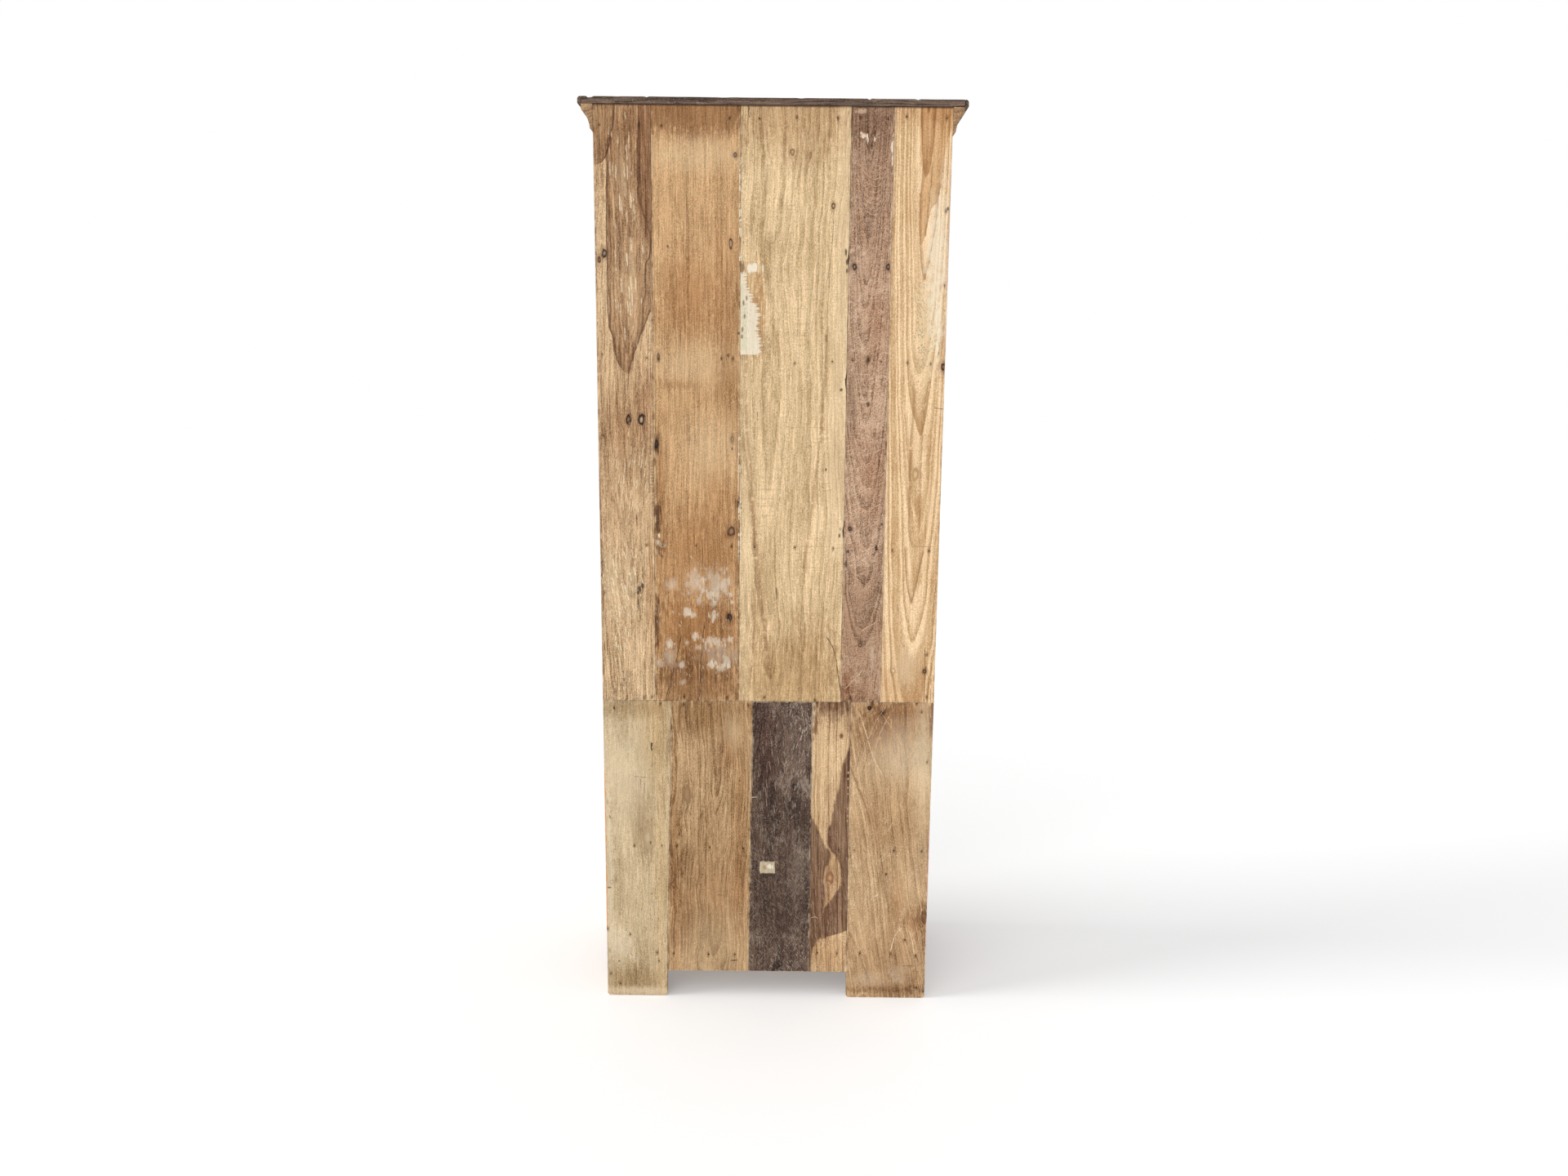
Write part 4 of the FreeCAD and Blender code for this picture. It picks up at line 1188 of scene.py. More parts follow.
TAN_BOARD = BackBoard(
    Wood((217, 177, 131), (126, 87, 46), 4.6, 0.2, 0.6, 1.0, 0.45, (-420.0, 60.0, 722.0),
         (0.0, 0.0), 5.0, 0.0, 0.0, ((66.0, 0.46, 0.5), (4.0, 0.5, 0.4)), (236, 204, 158), 2.1),
    knots=(
        Knot(84, 1109, 6.6, 1.35, (170, 138, 104), UMBER, 0.5),
        Knot(248, 1300, 3.6, 2.0, (120, 92, 70), SOOT, 0.8),
        Knot(87, 1722, 3.0, 2.8, (190, 158, 120), UMBER, 0.4),
        Knot(78, 1901, 3.0, 1.4, BARK, SOOT, 0.5), Knot(88, 915, 4.0, 1.7, SOOT, PIPE, 0.7),
        Knot(83, 1312, 2.8, 2.0, (160, 128, 94), BARK, 0.4),
        Knot(68, 1168, 3.0, 2.2, (150, 118, 86), SOOT, 0.7),
        Knot(242, 1486, 2.6, 2.2, BARK, UMBER, 0.5),
    ),
    marks=(
        Stain(160, 1985, 150, 46, (198, 182, 168), 1.0, 0.45),
        Spot(160, 1900, 90, 30, PALE, 0.25, 0.7), Stain(178, 1610, 54, 75, (216, 192, 168), 0.7),
        Stain(100, 1600, 28, 130, (220, 200, 180), 0.5), Spot(165, 1470, 80, 40, PALE, 0.22, 0.8),
        Stain(205, 1427, 42, 9, (206, 186, 164), 0.6, 0.9, 2.2),
        Stain(92, 1440, 24, 60, (214, 196, 172), 0.5), Spot(130, 1290, 55, 60, PALE, 0.22, 0.9),
        Stain(110, 1180, 30, 60, (220, 196, 166), 0.4),
        Stain(160, 1060, 110, 95, (214, 194, 170), 0.8),
        Stain(170, 880, 105, 90, (206, 182, 154), 0.9, 0.7),
        Stain(160, 770, 110, 60, (186, 168, 150), 0.9, 0.6),
        Stain(240, 1190, 10, 110, (210, 188, 164), 0.6),
        Stain(249, 1296, 7, 22, (104, 82, 70), 0.75, 0.9, 1.6),
        Stain(247, 1128, 6, 34, (104, 84, 70), 0.85, 0.8, 1.8),
        Spot(244, 1098, 3, 5, (240, 224, 196), 0.9, 0.3, 2.0),
        Spot(246, 1082, 5, 6, (236, 216, 186), 0.85, 0.3, 2.2),
        Spot(238, 1076, 5, 4, (240, 220, 190), 0.8, 0.3, 2.2),
        Spot(250, 1062, 3, 6, (232, 210, 180), 0.7, 0.3, 2.0),
        Stain(244, 1070, 9, 16, (140, 112, 92), 0.6, 0.6, 2.0),
        Stain(249, 900, 6, 40, (132, 106, 86), 0.8, 0.7, 1.6),
        Line(((246, 1130), (248, 1253)), UMBER, 1.7, 0.75),
        Line(((226, 1050), (226, 1140)), UMBER, 1.5, 0.75),
        Line(((148, 1020), (148, 1075)), UMBER, 1.3, 0.6),
        Line(((253, 872), (250, 901), (238, 951)), UMBER, 1.4, 0.7),
        Line(((68, 1100), (66, 1150), (68, 1190)), SOOT, 1.6, 0.8),
        Line(((87, 1570), (88, 1700)), (160, 122, 86), 1.8, 0.5),
        Line(((91, 1940), (92, 1975)), BARK, 1.6, 0.6),
        Line(((233, 722), (207, 821), (196, 877)), SOOT, 1.3, 0.85),
        Line(((229, 722), (216, 775)), SOOT, 1.0, 0.8),
        Line(((156, 722), (150, 840), (144, 905)), SOOT, 1.4, 0.9),
        Line(((152, 722), (151, 775)), SOOT, 0.9, 0.8),
        Line(((84, 800), (88, 980)), BARK, 1.6, 0.55, 0.2),
        Line(((75, 800), (77, 870)), (120, 84, 60), 2.0, 0.6),
        *(Line(((x, z), (x + 40, z - 12), (x + 90, z + 2)), PALE, 1.0, 0.4, 0.35, lies=True)
          for x, z in ((84, 1290), (96, 1318), (120, 1276), (100, 1345), (130, 1240))),
        # Painted shadow: a dark line beside the white flakes that follow.
        *(Line(((68.4, low), (68.6, high)), (112, 82, 60), 3.4, 0.6, 0.4) for low, high in FLAKES),
        *(Line(((67.6, low), (68.0, high)), (246, 226, 192), 3.6, 0.95, 0.42)
          for low, high in FLAKES),
        Line(((66.8, 724), (67.6, 1070)), UMBER, 1.8, 0.7, 0.4),
        Hatch(165, 900, 80, 130, (238, 226, 204), 0.4, 0.7, 2.4, pitch=6.0, length=9, slant=0.3,
              share=0.16),
        *bloom((216, 988, 9, 9, 0.4), (168, 997, 13, 22, 0.5), (150, 990, 8, 14, 0.3),
               (118, 990, 20, 26, 0.5), (126, 967, 8, 8, 0.7), (100, 985, 9, 14, 0.35),
               (183, 927, 7, 7, 0.8), (171, 921, 5, 5, 0.6), (124, 917, 7, 7, 0.8),
               (167, 871, 7, 6, 0.75), (223, 855, 6, 8, 0.8), (182, 856, 5, 5, 0.8),
               (120, 859, 18, 8, 0.65), (89, 863, 6, 6, 0.7), (220, 825, 9, 16, 0.4),
               (196, 805, 6, 5, 0.7), (127, 806, 8, 7, 0.75), (106, 802, 10, 8, 0.65),
               (95, 815, 6, 11, 0.5), (110, 830, 30, 18, 0.3), (193, 765, 5, 5, 0.4),
               (245, 811, 7, 7, 0.45), (159, 846, 6, 5, 0.5), (155, 955, 5, 7, 0.5),
               (84, 969, 4, 4, 0.75), (83, 950, 3, 3, 0.7), (125, 945, 7, 5, 0.4)),
        *pits(UMBER, (221, 1715, 2.4, 3), (70, 1537, 3.4, 4), (92, 1490, 3.4, 4),
              (83, 1290, 1.5, 3)),
    ),
    sunk=0.6,
)

PLASTERED_BOARD = BackBoard(
    Wood((240, 212, 170), (162, 130, 86), 15.0, 0.3, 0.55, 0.95, 0.5, (0.0, 46.0, 722.0),
         (0.0, -0.026), 16.0, 0.1, 0.25, ((88.0, 0.44, 0.4), (8.0, 0.48, 0.4)), (252, 232, 194),
         3.7),
    knots=(
        Knot(-42, 1908, 4.0, 1.5, (204, 170, 128), (160, 124, 90), 0.25),
        Knot(-129, 1801, 2.8, 1.8, (190, 156, 116), UMBER, 0.4),
        Knot(-78, 1902, 2.6, 2.4, (180, 146, 108), (168, 132, 96), 0.3),
    ),
    marks=(
        Stain(-50, 1995, 130, 90, (216, 202, 190), 0.85, 0.7),
        Stain(-50, 770, 130, 100, (214, 200, 182), 0.8),
        Stain(-100, 850, 40, 90, (212, 198, 182), 0.5),
        Stain(20, 930, 25, 70, (206, 190, 172), 0.35, 0.9),
        Zone(((-134, 1050), (-128, 1300), (-136, 1600), (-140, 2001)),
             ((-175, 1050), (-175, 2001)), (240, 212, 172), 0.35, 12.0, lay=Lay.COVER),
        Zone(((60, 722), (60, 900), (58, 1480)), ((36, 722), (40, 900), (44, 1480)),
             (246, 222, 182), 0.2, 9.0, lay=Lay.COVER),
        Line(((44, 730), (30, 980), (40, 1240), (52, 1420), (50, 1700)), (182, 146, 106), 2.4, 0.5,
             0.2, 10),
        Line(((-16, 726), (8, 900), (34, 1130), (60, 1330)), (172, 134, 96), 2.6, 0.55, 0.15, 14),
        Line(((-70, 1000), (-92, 1180), (-108, 1340), (-120, 1560)), (180, 144, 104), 2.4, 0.45,
             0.2, -12),
        Line(((-104, 1410), (-108, 1500), (-98, 1620), (-92, 1760)), (184, 148, 108), 2.0, 0.4,
             0.3),
        Line(((-30, 1060), (-34, 1190), (-20, 1290), (0, 1360)), (186, 150, 110), 2.2, 0.35, 0.3),
        Line(((-118, 1640), (-128, 1730), (-130, 1798)), UMBER, 1.1, 0.6),
        Line(((29, 1352), (29, 1372)), PIPE, 1.2, 0.85),
        Line(((-17, 958), (-15, 984)), PIPE, 1.3, 0.8),
        Line(((-157, 781), (-155, 800), (-150, 831), (-128, 877)), SOOT, 1.4, 0.8),
        Line(((-166, 738), (-161, 760), (-157, 785)), SOOT, 1.5, 0.8),
        Line(((48, 1976), (50, 1986), (51, 2000)), SOOT, 1.5, 0.8),
        Line(((-152, 1960), (-158, 1990)), BARK, 1.3, 0.5),
        *scores((176, 140, 104), (-110, 1338, -30, 1339, 1.4, 0.4),
                (-140, 1077, -46, 1077, 0.9, 0.5), (-60, 1733, 10, 1734, 1, 0.3),
                (-70, 1722, 0, 1722, 1, 0.25), (-66, 1744, 4, 1745, 0.9, 0.25)),
        Stain(24, 1590, 9, 90, (206, 180, 156), 0.6, 0.7, 1.8),
        Stain(36, 1600, 18, 80, (224, 202, 176), 0.5, 0.7, 1.6),
        Zone(None,
             ((23, 1492), (25, 1517), (29, 1542), (26, 1572), (37, 1598), (46, 1619), (52, 1640),
              (58, 1664)), CHALK, 0.95, 1.2, 56.0, Lay.COVER),
        Zone(((67, 1500), (67, 1640)), ((52, 1500), (54, 1560), (60, 1640)), (212, 202, 160), 0.5,
             3.0, 9.0, Lay.COVER),
        Hatch(58, 1580, 9, 60, (140, 124, 88), 0.6, 0.5, 2.6, pitch=2.6, length=4.0, slant=0.4,
              share=0.4),
        *pits(BARK, (60, 1600, 2, 5), (57, 1572, 2, 4), (62, 1545, 2.4, 6), (53, 1610, 1.6, 4),
              (63, 1530, 2, 5)),
        Spot(48, 1672, 5, 9, CHALK, 0.9, 0.2, 1.2), Spot(37, 1674, 6, 10, CHALK, 0.92, 0.12, 1.0),
        Spot(19, 1671, 2.0, 9, (238, 228, 200), 0.8, 0.4, 1.2),
        Spot(62, 1672, 4.5, 10, (130, 98, 72), 0.75, 0.5, 1.6),
        *(Line(((65.0, low), (65.2, high)), CHALK, 2.4, 0.95, 0.5) for low, high in FLAKES),
        # Painted shadow: a dark line along the lower-X side of the white flakes above.
        *(Line(((62.8, low), (62.8, high)), UMBER, 1.2, 0.7, 0.7) for low, high in FLAKES),
        Stain(-118, 1531, 3.4, 12, (150, 116, 84), 0.6, 0.6),
        Stain(-110, 1916, 8, 16, (206, 190, 168), 0.5),
        *pits(PIPE, (-152, 1419, 3.4, 3), (-122, 1247, 1.8, 3), (-157, 1706, 2.4, 7),
              (-160, 1686, 2.6, 6), (-163, 1442, 3, 3), (-157, 1117, 2.6, 3), (-154, 1102, 2.2, 4),
              (-160, 1668, 2.2, 5)),
        *(Spot(-159, z, 3, 9, PALE, 0.7, 0.4, 2.0) for z in (1724, 1452, 1430, 1126, 1092)),
    ),
    chips=(
        (-1, 1690, 3.2, 26), (-1, 1436, 4.0, 22), (-1, 1112, 3.4, 20), (1, 1860, 1.2, 60),
        (1, 1250, 1.4, 70), (1, 1075, 1.4, 40), (-1, 1560, 1.4, 30),
    ),
    sunk=0.5,
)

RED_BOARD = BackBoard(
    Wood((206, 170, 140), (106, 74, 50), 5.2, 0.5, 0.45, 0.6, 0.35, (-207.0, 24.0, 1762.0),
         (0.0, -0.07), 6.0, 0.1, 0.1,
         ((62.0, 0.6, 0.5), (-62.0, 0.5, 0.35), (84.0, 0.54, 0.45), (24.0, 0.52, 0.35)),
         (232, 202, 174), 4.4, 1.0),
    knots=(
        Knot(-176, 1677, 3.2, 1.6, (150, 132, 116), SOOT, 0.6),
        Knot(-247, 1678, 3.2, 1.6, (150, 132, 116), SOOT, 0.6),
        Knot(-209, 1483, 2.4, 1.9, SOOT, UMBER, 0.5),
        Knot(-177, 1118, 3.0, 1.3, (120, 96, 78), SOOT, 0.6),
        Knot(-205, 855, 3.0, 1.3, (170, 144, 120), UMBER, 0.5),
        Knot(-211, 1389, 2.2, 1.8, UMBER, UMBER, 0.3),
    ),
    marks=(
        Stain(-208, 1900, 60, 200, (222, 214, 210), 0.9, 0.6),
        Stain(-208, 1990, 60, 50, (196, 184, 178), 0.8),
        Spot(-190, 1941, 7, 4.5, (238, 212, 184), 0.9, 0.25, 1.6),
        Spot(-197, 1934, 3, 6, (244, 226, 200), 0.9, 0.25, 1.4),
        Spot(-185, 1946, 3, 3, (238, 212, 184), 0.8, 0.25, 1.4),
        Spot(-213, 1935, 2.0, 5, (240, 220, 196), 0.85, 0.3, 1.0),
        *pits(SOOT, (-213, 1946, 2, 6), (-236, 1076, 2.6, 4), (-173, 1067, 4, 4),
              (-247, 1128, 2, 3), (-185, 734, 2.4, 6), (-170, 1040, 2.6, 7), (-196, 1930, 1.2, 7)),
        Spot(-251, 1915, 3, 20, (244, 222, 196), 0.85, 0.3, 2.4),
        Spot(-184, 1990, 10, 4, (220, 190, 160), 0.6, 0.5, 2.0),
        Spot(-196, 1706, 4, 5, (226, 198, 168), 0.5, 0.6, 1.6),
        Stain(-225, 1230, 26, 80, (214, 180, 152), 0.4, 0.9),
        Stain(-176, 1400, 12, 60, (186, 178, 174), 0.6),
        Stain(-226, 1560, 22, 70, (222, 188, 164), 0.4, 0.9),
        Stain(-205, 860, 60, 160, (220, 212, 204), 0.8, 0.8),
        Spot(-233, 830, 5, 22, (222, 196, 170), 0.5, 0.6, 1.8),
        Stain(-176, 765, 13, 34, (186, 136, 92), 0.6),
        Stain(-208, 735, 50, 20, (190, 160, 132), 0.5),
        Line(((-251, 1640), (-250.6, 1760), (-252, 1990)), (232, 204, 172), 1.6, 0.6, 0.5),
        *(Line(((-250, z + 62), (-234, z + 22), (-216, z), (-198, z + 8), (-182, z + 30),
                (-166, z + 66)), (210, 176, 150), 1.6, 0.6, 0.25, lies=True)
          for z in (1772, 1783, 1793, 1805, 1815, 1828, 1841, 1856)),
        *(Line(((-226 - k, 1734), (-215, 1734 + s), (-204 + k, 1734)), (206, 172, 144), 1.5, 0.6,
               lies=True) for k, s in ((0, 22), (6, 34), (0, -20), (6, -32))),
        *(Line(((-250, z + 26), (-212, z + 10), (-168, z - 8)), (232, 202, 170), w, 0.6, 0.35,
               lies=True)
          for z, w in ((1195, 1.3), (1250, 1.0), (1170, 1.1), (1148, 0.9), (1090, 1.1),
                       (1060, 1.2), (1040, 0.9), (1270, 0.9), (1215, 0.8), (1110, 0.8),
                       (1010, 0.9))),
        *(Line(((-250, z), (-168, z + 4)), (226, 196, 166), w, 0.5, 0.4, lies=True)
          for z, w in ((1605, 1.1), (1570, 1.4), (1585, 0.9), (1527, 1.2), (1512, 1.3),
                       (1499, 1.1), (1450, 0.9))),
        *(Line(((x, z), (x + 14, z + 34), (x + 20, z + 70)), (232, 202, 170), 1.0, 0.6, 0.3)
          for x, z in ((-236, 1330), (-222, 1290), (-200, 1360), (-244, 1400), (-196, 1180),
                       (-226, 1060), (-190, 1010))),
        *scores((240, 210, 178), (-240, 909, -206, 886, 1.3, 0.7),
                (-212, 797, -172, 752, 1.2, 0.5)),
    ),
    chips=((1, 1985, 1.2, 20), (-1, 1915, 1.0, 26)),
    sunk=0.9,
)

PINE_BOARD = BackBoard(
    Wood((250, 222, 182), (188, 146, 98), 8.4, 0.62, 0.4, 0.65, 0.35, (-324.0, 32.0, 1640.0),
         (0.0, -0.045), 5.0, 0.0, 0.0, ((84.0, 0.4, 0.4),), (252, 234, 198), 5.9),
    knots=(
        Knot(-371, 1470, 4.4, 1.4, (150, 110, 78), SOOT, 0.6),
        Knot(-282, 797, 4.4, 1.2, (244, 222, 186), (206, 168, 120), 0.2),
        Knot(-351, 796, 3.4, 1.3, (150, 116, 82), SOOT, 0.5),
        Knot(-318, 1238, 6.0, 1.9, (220, 184, 136), (190, 150, 104), 0.2),
        Knot(-370, 1797, 2.2, 1.2, SOOT, PIPE, 0.3),
    ),
    marks=(
        Stain(-314, 1992, 70, 32, (202, 176, 148), 0.55),
        Stain(-314, 760, 64, 60, (212, 186, 156), 0.5),
        Line(((-325, 1648), (-334, 1690), (-345, 1760), (-352, 1850)), HONEY, 1.8, 0.7, shade=9),
        Line(((-325, 1646), (-316, 1700), (-312, 1780), (-316, 1900)), HONEY, 1.8, 0.7, shade=-9),
        Line(((-324, 1738), (-330, 1800), (-336, 1890)), HONEY, 1.5, 0.6, shade=7),
        Line(((-317, 950), (-306, 1000), (-299, 1080)), (170, 124, 80), 2.0, 0.7, shade=-9),
        Line(((-317, 948), (-328, 1000), (-341, 1070)), (170, 124, 80), 2.0, 0.7, shade=9),
        Line(((-314, 1078), (-306, 1130), (-305, 1290), (-309, 1390), (-300, 1440)), HONEY, 1.6,
             0.6, 0.1, -8),
        Line(((-332, 1078), (-330, 1240), (-336, 1400), (-348, 1450)), HONEY, 1.6, 0.5, 0.1, 8),
        Line(((-352, 722), (-353, 800), (-350, 850)), UMBER, 1.6, 0.75),
        Line(((-367, 722), (-366, 880), (-371, 1000)), BARK, 1.5, 0.6, 0.2),
        Line(((-360, 724), (-361, 790)), BARK, 1.2, 0.6),
        Line(((-289, 932), (-286, 950)), SOOT, 1.1, 0.7),
        Line(((-357, 1492), (-361, 1505), (-356, 1530)), SOOT, 1.0, 0.7),
        *scores(SOOT, (-374, 1381, -354, 1382, 1.3, 0.85), (-368, 1079, -314, 1080, 0.9, 0.5)),
        Spot(-332, 1546, 24, 90, (234, 208, 164), 0.65, 0.5, 2.6),
        Spot(-357, 1560, 4, 60, (252, 240, 212), 0.5, 0.9, 1.8),
        Stain(-370, 1500, 5, 60, (196, 160, 130), 0.5, 0.7),
        Spot(-308, 800, 22, 44, (246, 226, 190), 0.3, 0.8, 1.8),
        Hatch(-321, 1548, 11, 88, (112, 82, 52), 0.85, 0.5, 3.0, pitch=3.2, length=5.0, slant=0.6,
              share=0.5),
        Hatch(-338, 1556, 18, 84, (128, 96, 62), 0.7, 0.5, 3.0, pitch=3.6, length=5.0, slant=-0.5,
              share=0.22),
        Spot(-352, 1690, 20, 150, (255, 244, 220), 0.5, 0.8, 1.6),
        Zone(((-315, 1722), (-310, 1756), (-309, 1807), (-317, 1865), (-312, 1878), (-307, 1959),
              (-307, 2001)),
             ((-317, 1722), (-324, 1749), (-334, 1795), (-350, 1820), (-357, 1895), (-372, 1959),
              (-380, 2001)), (216, 190, 158), 0.85, 2.0),
        Line(((-317, 1722), (-324, 1749), (-334, 1795), (-350, 1820), (-357, 1895)), HONEY, 1.4,
             0.6, 0.1),
        Line(((-373.6, 1620), (-374.2, 1730), (-374.6, 1860)), (214, 140, 140), 1.4, 0.6, 0.3),
    ),
    sunk=0.5,
)

UPPER_BOARDS = (FORKED_BOARD, TAN_BOARD, PLASTERED_BOARD, RED_BOARD, PINE_BOARD)

GREY_FOOT_BOARD = BackBoard(
    Wood((214, 192, 156), (134, 106, 68), 8.0, 0.1, 0.5, 0.9, 0.65, (300.0, 140.0, 0.0),
         (0.0, 0.0), 14.0, 0.6, 0.0, ((6.0, 0.5, 0.5), (86.0, 0.44, 0.4)), (236, 222, 194), 6.2),
    knots=(
        Knot(361, 285, 3.6, 1.0, (210, 180, 140), (160, 124, 90), 0.3),
        Knot(276, 395, 8.0, 2.8, (216, 196, 160), (196, 172, 136), 0.1),
    ),
    marks=(
        Stain(318, 40, 90, 34, (206, 190, 166), 0.6, 0.8, 0.8),
        Spot(300, 12, 80, 9, (236, 214, 184), 0.5, 0.6, 1.4),
        Spot(325, 540, 60, 110, (236, 216, 180), 0.45, 0.8, 1.4),
        Stain(300, 702, 90, 22, (206, 190, 164), 0.6, 0.7),
        Stain(255, 640, 30, 90, (242, 216, 164), 0.3, 0.9),
        Stain(285, 420, 22, 80, (200, 184, 166), 0.5, 0.8, 1.8),
        Spot(345, 130, 24, 40, (244, 230, 202), 0.35, 0.8, 1.6),
        Spot(366, 300, 9, 200, (244, 228, 196), 0.4, 0.8, 1.4),
        Stain(246, 330, 14, 300, (242, 220, 176), 0.3, 0.9),
        Line(((265, 603), (266, 614), (265, 623)), PIPE, 2.4, 0.95),
        *scores(UMBER, (278, 540, 306, 542, 1.2, 0.75)),
        *strokes(BARK, (291, 512, 292, 538, 1.1, 0.7), (282, 500, 283, 530, 0.9, 0.5),
                 (361, 441, 365, 448, 1.4, 0.9)),
        Line(((374.2, 160), (374, 330), (373.6, 560)), (228, 150, 66), 2.0, 0.95, 0.1),
        *pits(UMBER, (367, 271, 4, 2), (269, 256, 1.6, 2.4), (347, 87, 2.4, 2.4),
              (270, 382, 3, 5)),
    ),
    sunk=0.5,
)

BROWN_BOARD = BackBoard(
    Wood((208, 174, 132), (110, 76, 38), 7.0, 0.4, 0.55, 0.85, 0.75, (128.0, 26.0, 300.0),
         (0.0, -0.05), 18.0, 0.5, 0.0, ((10.0, 0.5, 0.5), (-14.0, 0.46, 0.4)), (226, 196, 152),
         7.5),
    knots=(
        Knot(218, 280, 4.0, 1.3, (196, 158, 114), (150, 112, 76), 0.3),
        Knot(184, 500, 6.0, 3.0, (160, 126, 90), (150, 116, 82), 0.2),
    ),
    marks=(
        Stain(130, 690, 90, 50, (206, 188, 166), 0.8, 0.7),
        Stain(130, 290, 100, 110, (226, 216, 206), 0.8, 0.8),
        Spot(130, 120, 90, 80, (206, 178, 140), 0.3, 0.8, 1.6),
        Spot(80, 650, 20, 38, (236, 212, 172), 0.4, 0.8, 2.0),
        Stain(95, 605, 16, 60, (196, 158, 120), 0.5),
        Stain(215, 300, 12, 260, (206, 170, 130), 0.5),
        Stain(64, 400, 16, 280, (214, 182, 140), 0.5, 0.9),
        Stain(118, 250, 30, 60, (226, 210, 190), 0.3, 0.9, 2.0),
        Stain(190, 205, 20, 60, (180, 144, 108), 0.5, 0.9),
        *strokes(UMBER, (184, 640, 183, 722, 1.4, 0.6), (66, 690, 66, 722, 1.4, 0.75),
                 (56, 700, 57, 722, 1, 0.6)),
        *scores(PIPE, (67, 91, 85, 91, 2.0, 0.9), (98, 254, 116, 255, 1.2, 0.5)),
        *pits(UMBER, (64, 534, 2, 2.4), (202, 350, 1.6, 2), (202, 240, 2, 2.6),
              (150, 305, 1.6, 2)),
    ),
    sunk=0.7,
)

DARK_BOARD = BackBoard(
    Wood((112, 88, 73), (36, 22, 16), 6.0, 0.45, 0.9, 0.9, 0.6, (-20.0, 40.0, 100.0), (0.0, 0.05),
         18.0, 0.1, 0.0,
         ((8.0, 0.52, 0.55), (-26.0, 0.5, 0.5), (70.0, 0.47, 0.45), (40.0, 0.47, 0.45)),
         (196, 176, 158), 8.8, 1.2),
    knots=(
        Knot(-64, 520, 6.0, 1.2, (84, 66, 56), (44, 32, 27), 0.4),
        Knot(-60, 476, 8.0, 2.0, (104, 86, 74), (66, 50, 42), 0.2),
    ),
    marks=(
        Stain(8, 620, 26, 110, (170, 118, 104), 0.6),
        Spot(-66, 620, 24, 70, (150, 130, 116), 0.15, 0.9, 3.0),
        Spot(-84, 520, 10, 18, (206, 190, 174), 0.5, 0.6, 3.4),
        Spot(-70, 330, 16, 60, (176, 158, 142), 0.3, 0.7, 3.4),
        *(Line(((-78 + k, 590), (-84 + k, 640), (-76 + k, 700)), (196, 180, 162), 1.3, 0.6, 0.4)
          for k in (0, 9, -12)),
        Hatch(-40, 190, 66, 150, (196, 178, 160), 0.55, 0.6, 3.0, pitch=3.4, length=11, slant=-0.5,
              share=0.25),
        Hatch(-30, 200, 66, 160, (206, 190, 172), 0.7, 0.6, 3.0, pitch=3.2, length=9, slant=0.7,
              share=0.22),
        Hatch(-66, 600, 30, 110, (212, 198, 182), 0.8, 0.6, 3.0, pitch=3.6, length=16, slant=-0.25,
              share=0.3),
        Hatch(-10, 480, 44, 140, (204, 186, 168), 0.6, 0.6, 2.0, pitch=4.0, length=26, slant=0.1,
              share=0.3),
        Stain(-20, 190, 60, 90, (124, 100, 86), 0.5),
        Stain(-30, 400, 100, 200, (206, 200, 196), 0.9, 0.6),
        Stain(0, 314, 20, 14, (70, 52, 44), 0.6, 0.6),
        Zone(((17, 309), (18, 327), (16, 339)), ((-19, 309), (-18, 322), (-18, 339)),
             (222, 204, 172), 0.9, 3.0, lay=Lay.COVER),
        Spot(8, 324, 6, 4, (166, 132, 98), 0.7, 0.4, 2.0),
        Spot(-8, 326, 6, 5, (250, 240, 220), 0.7, 0.4, 2.0),
        Line(((34, 600), (36, 700)), (208, 184, 156), 1.2, 0.5, 0.3),
        *scores((230, 212, 190), (22, 495, 40, 494, 1.2, 0.8)),
        Line(((-98, 80), (-97, 260)), (190, 170, 152), 1.2, 0.4, 0.4),
    ),
    sunk=1.0,
)

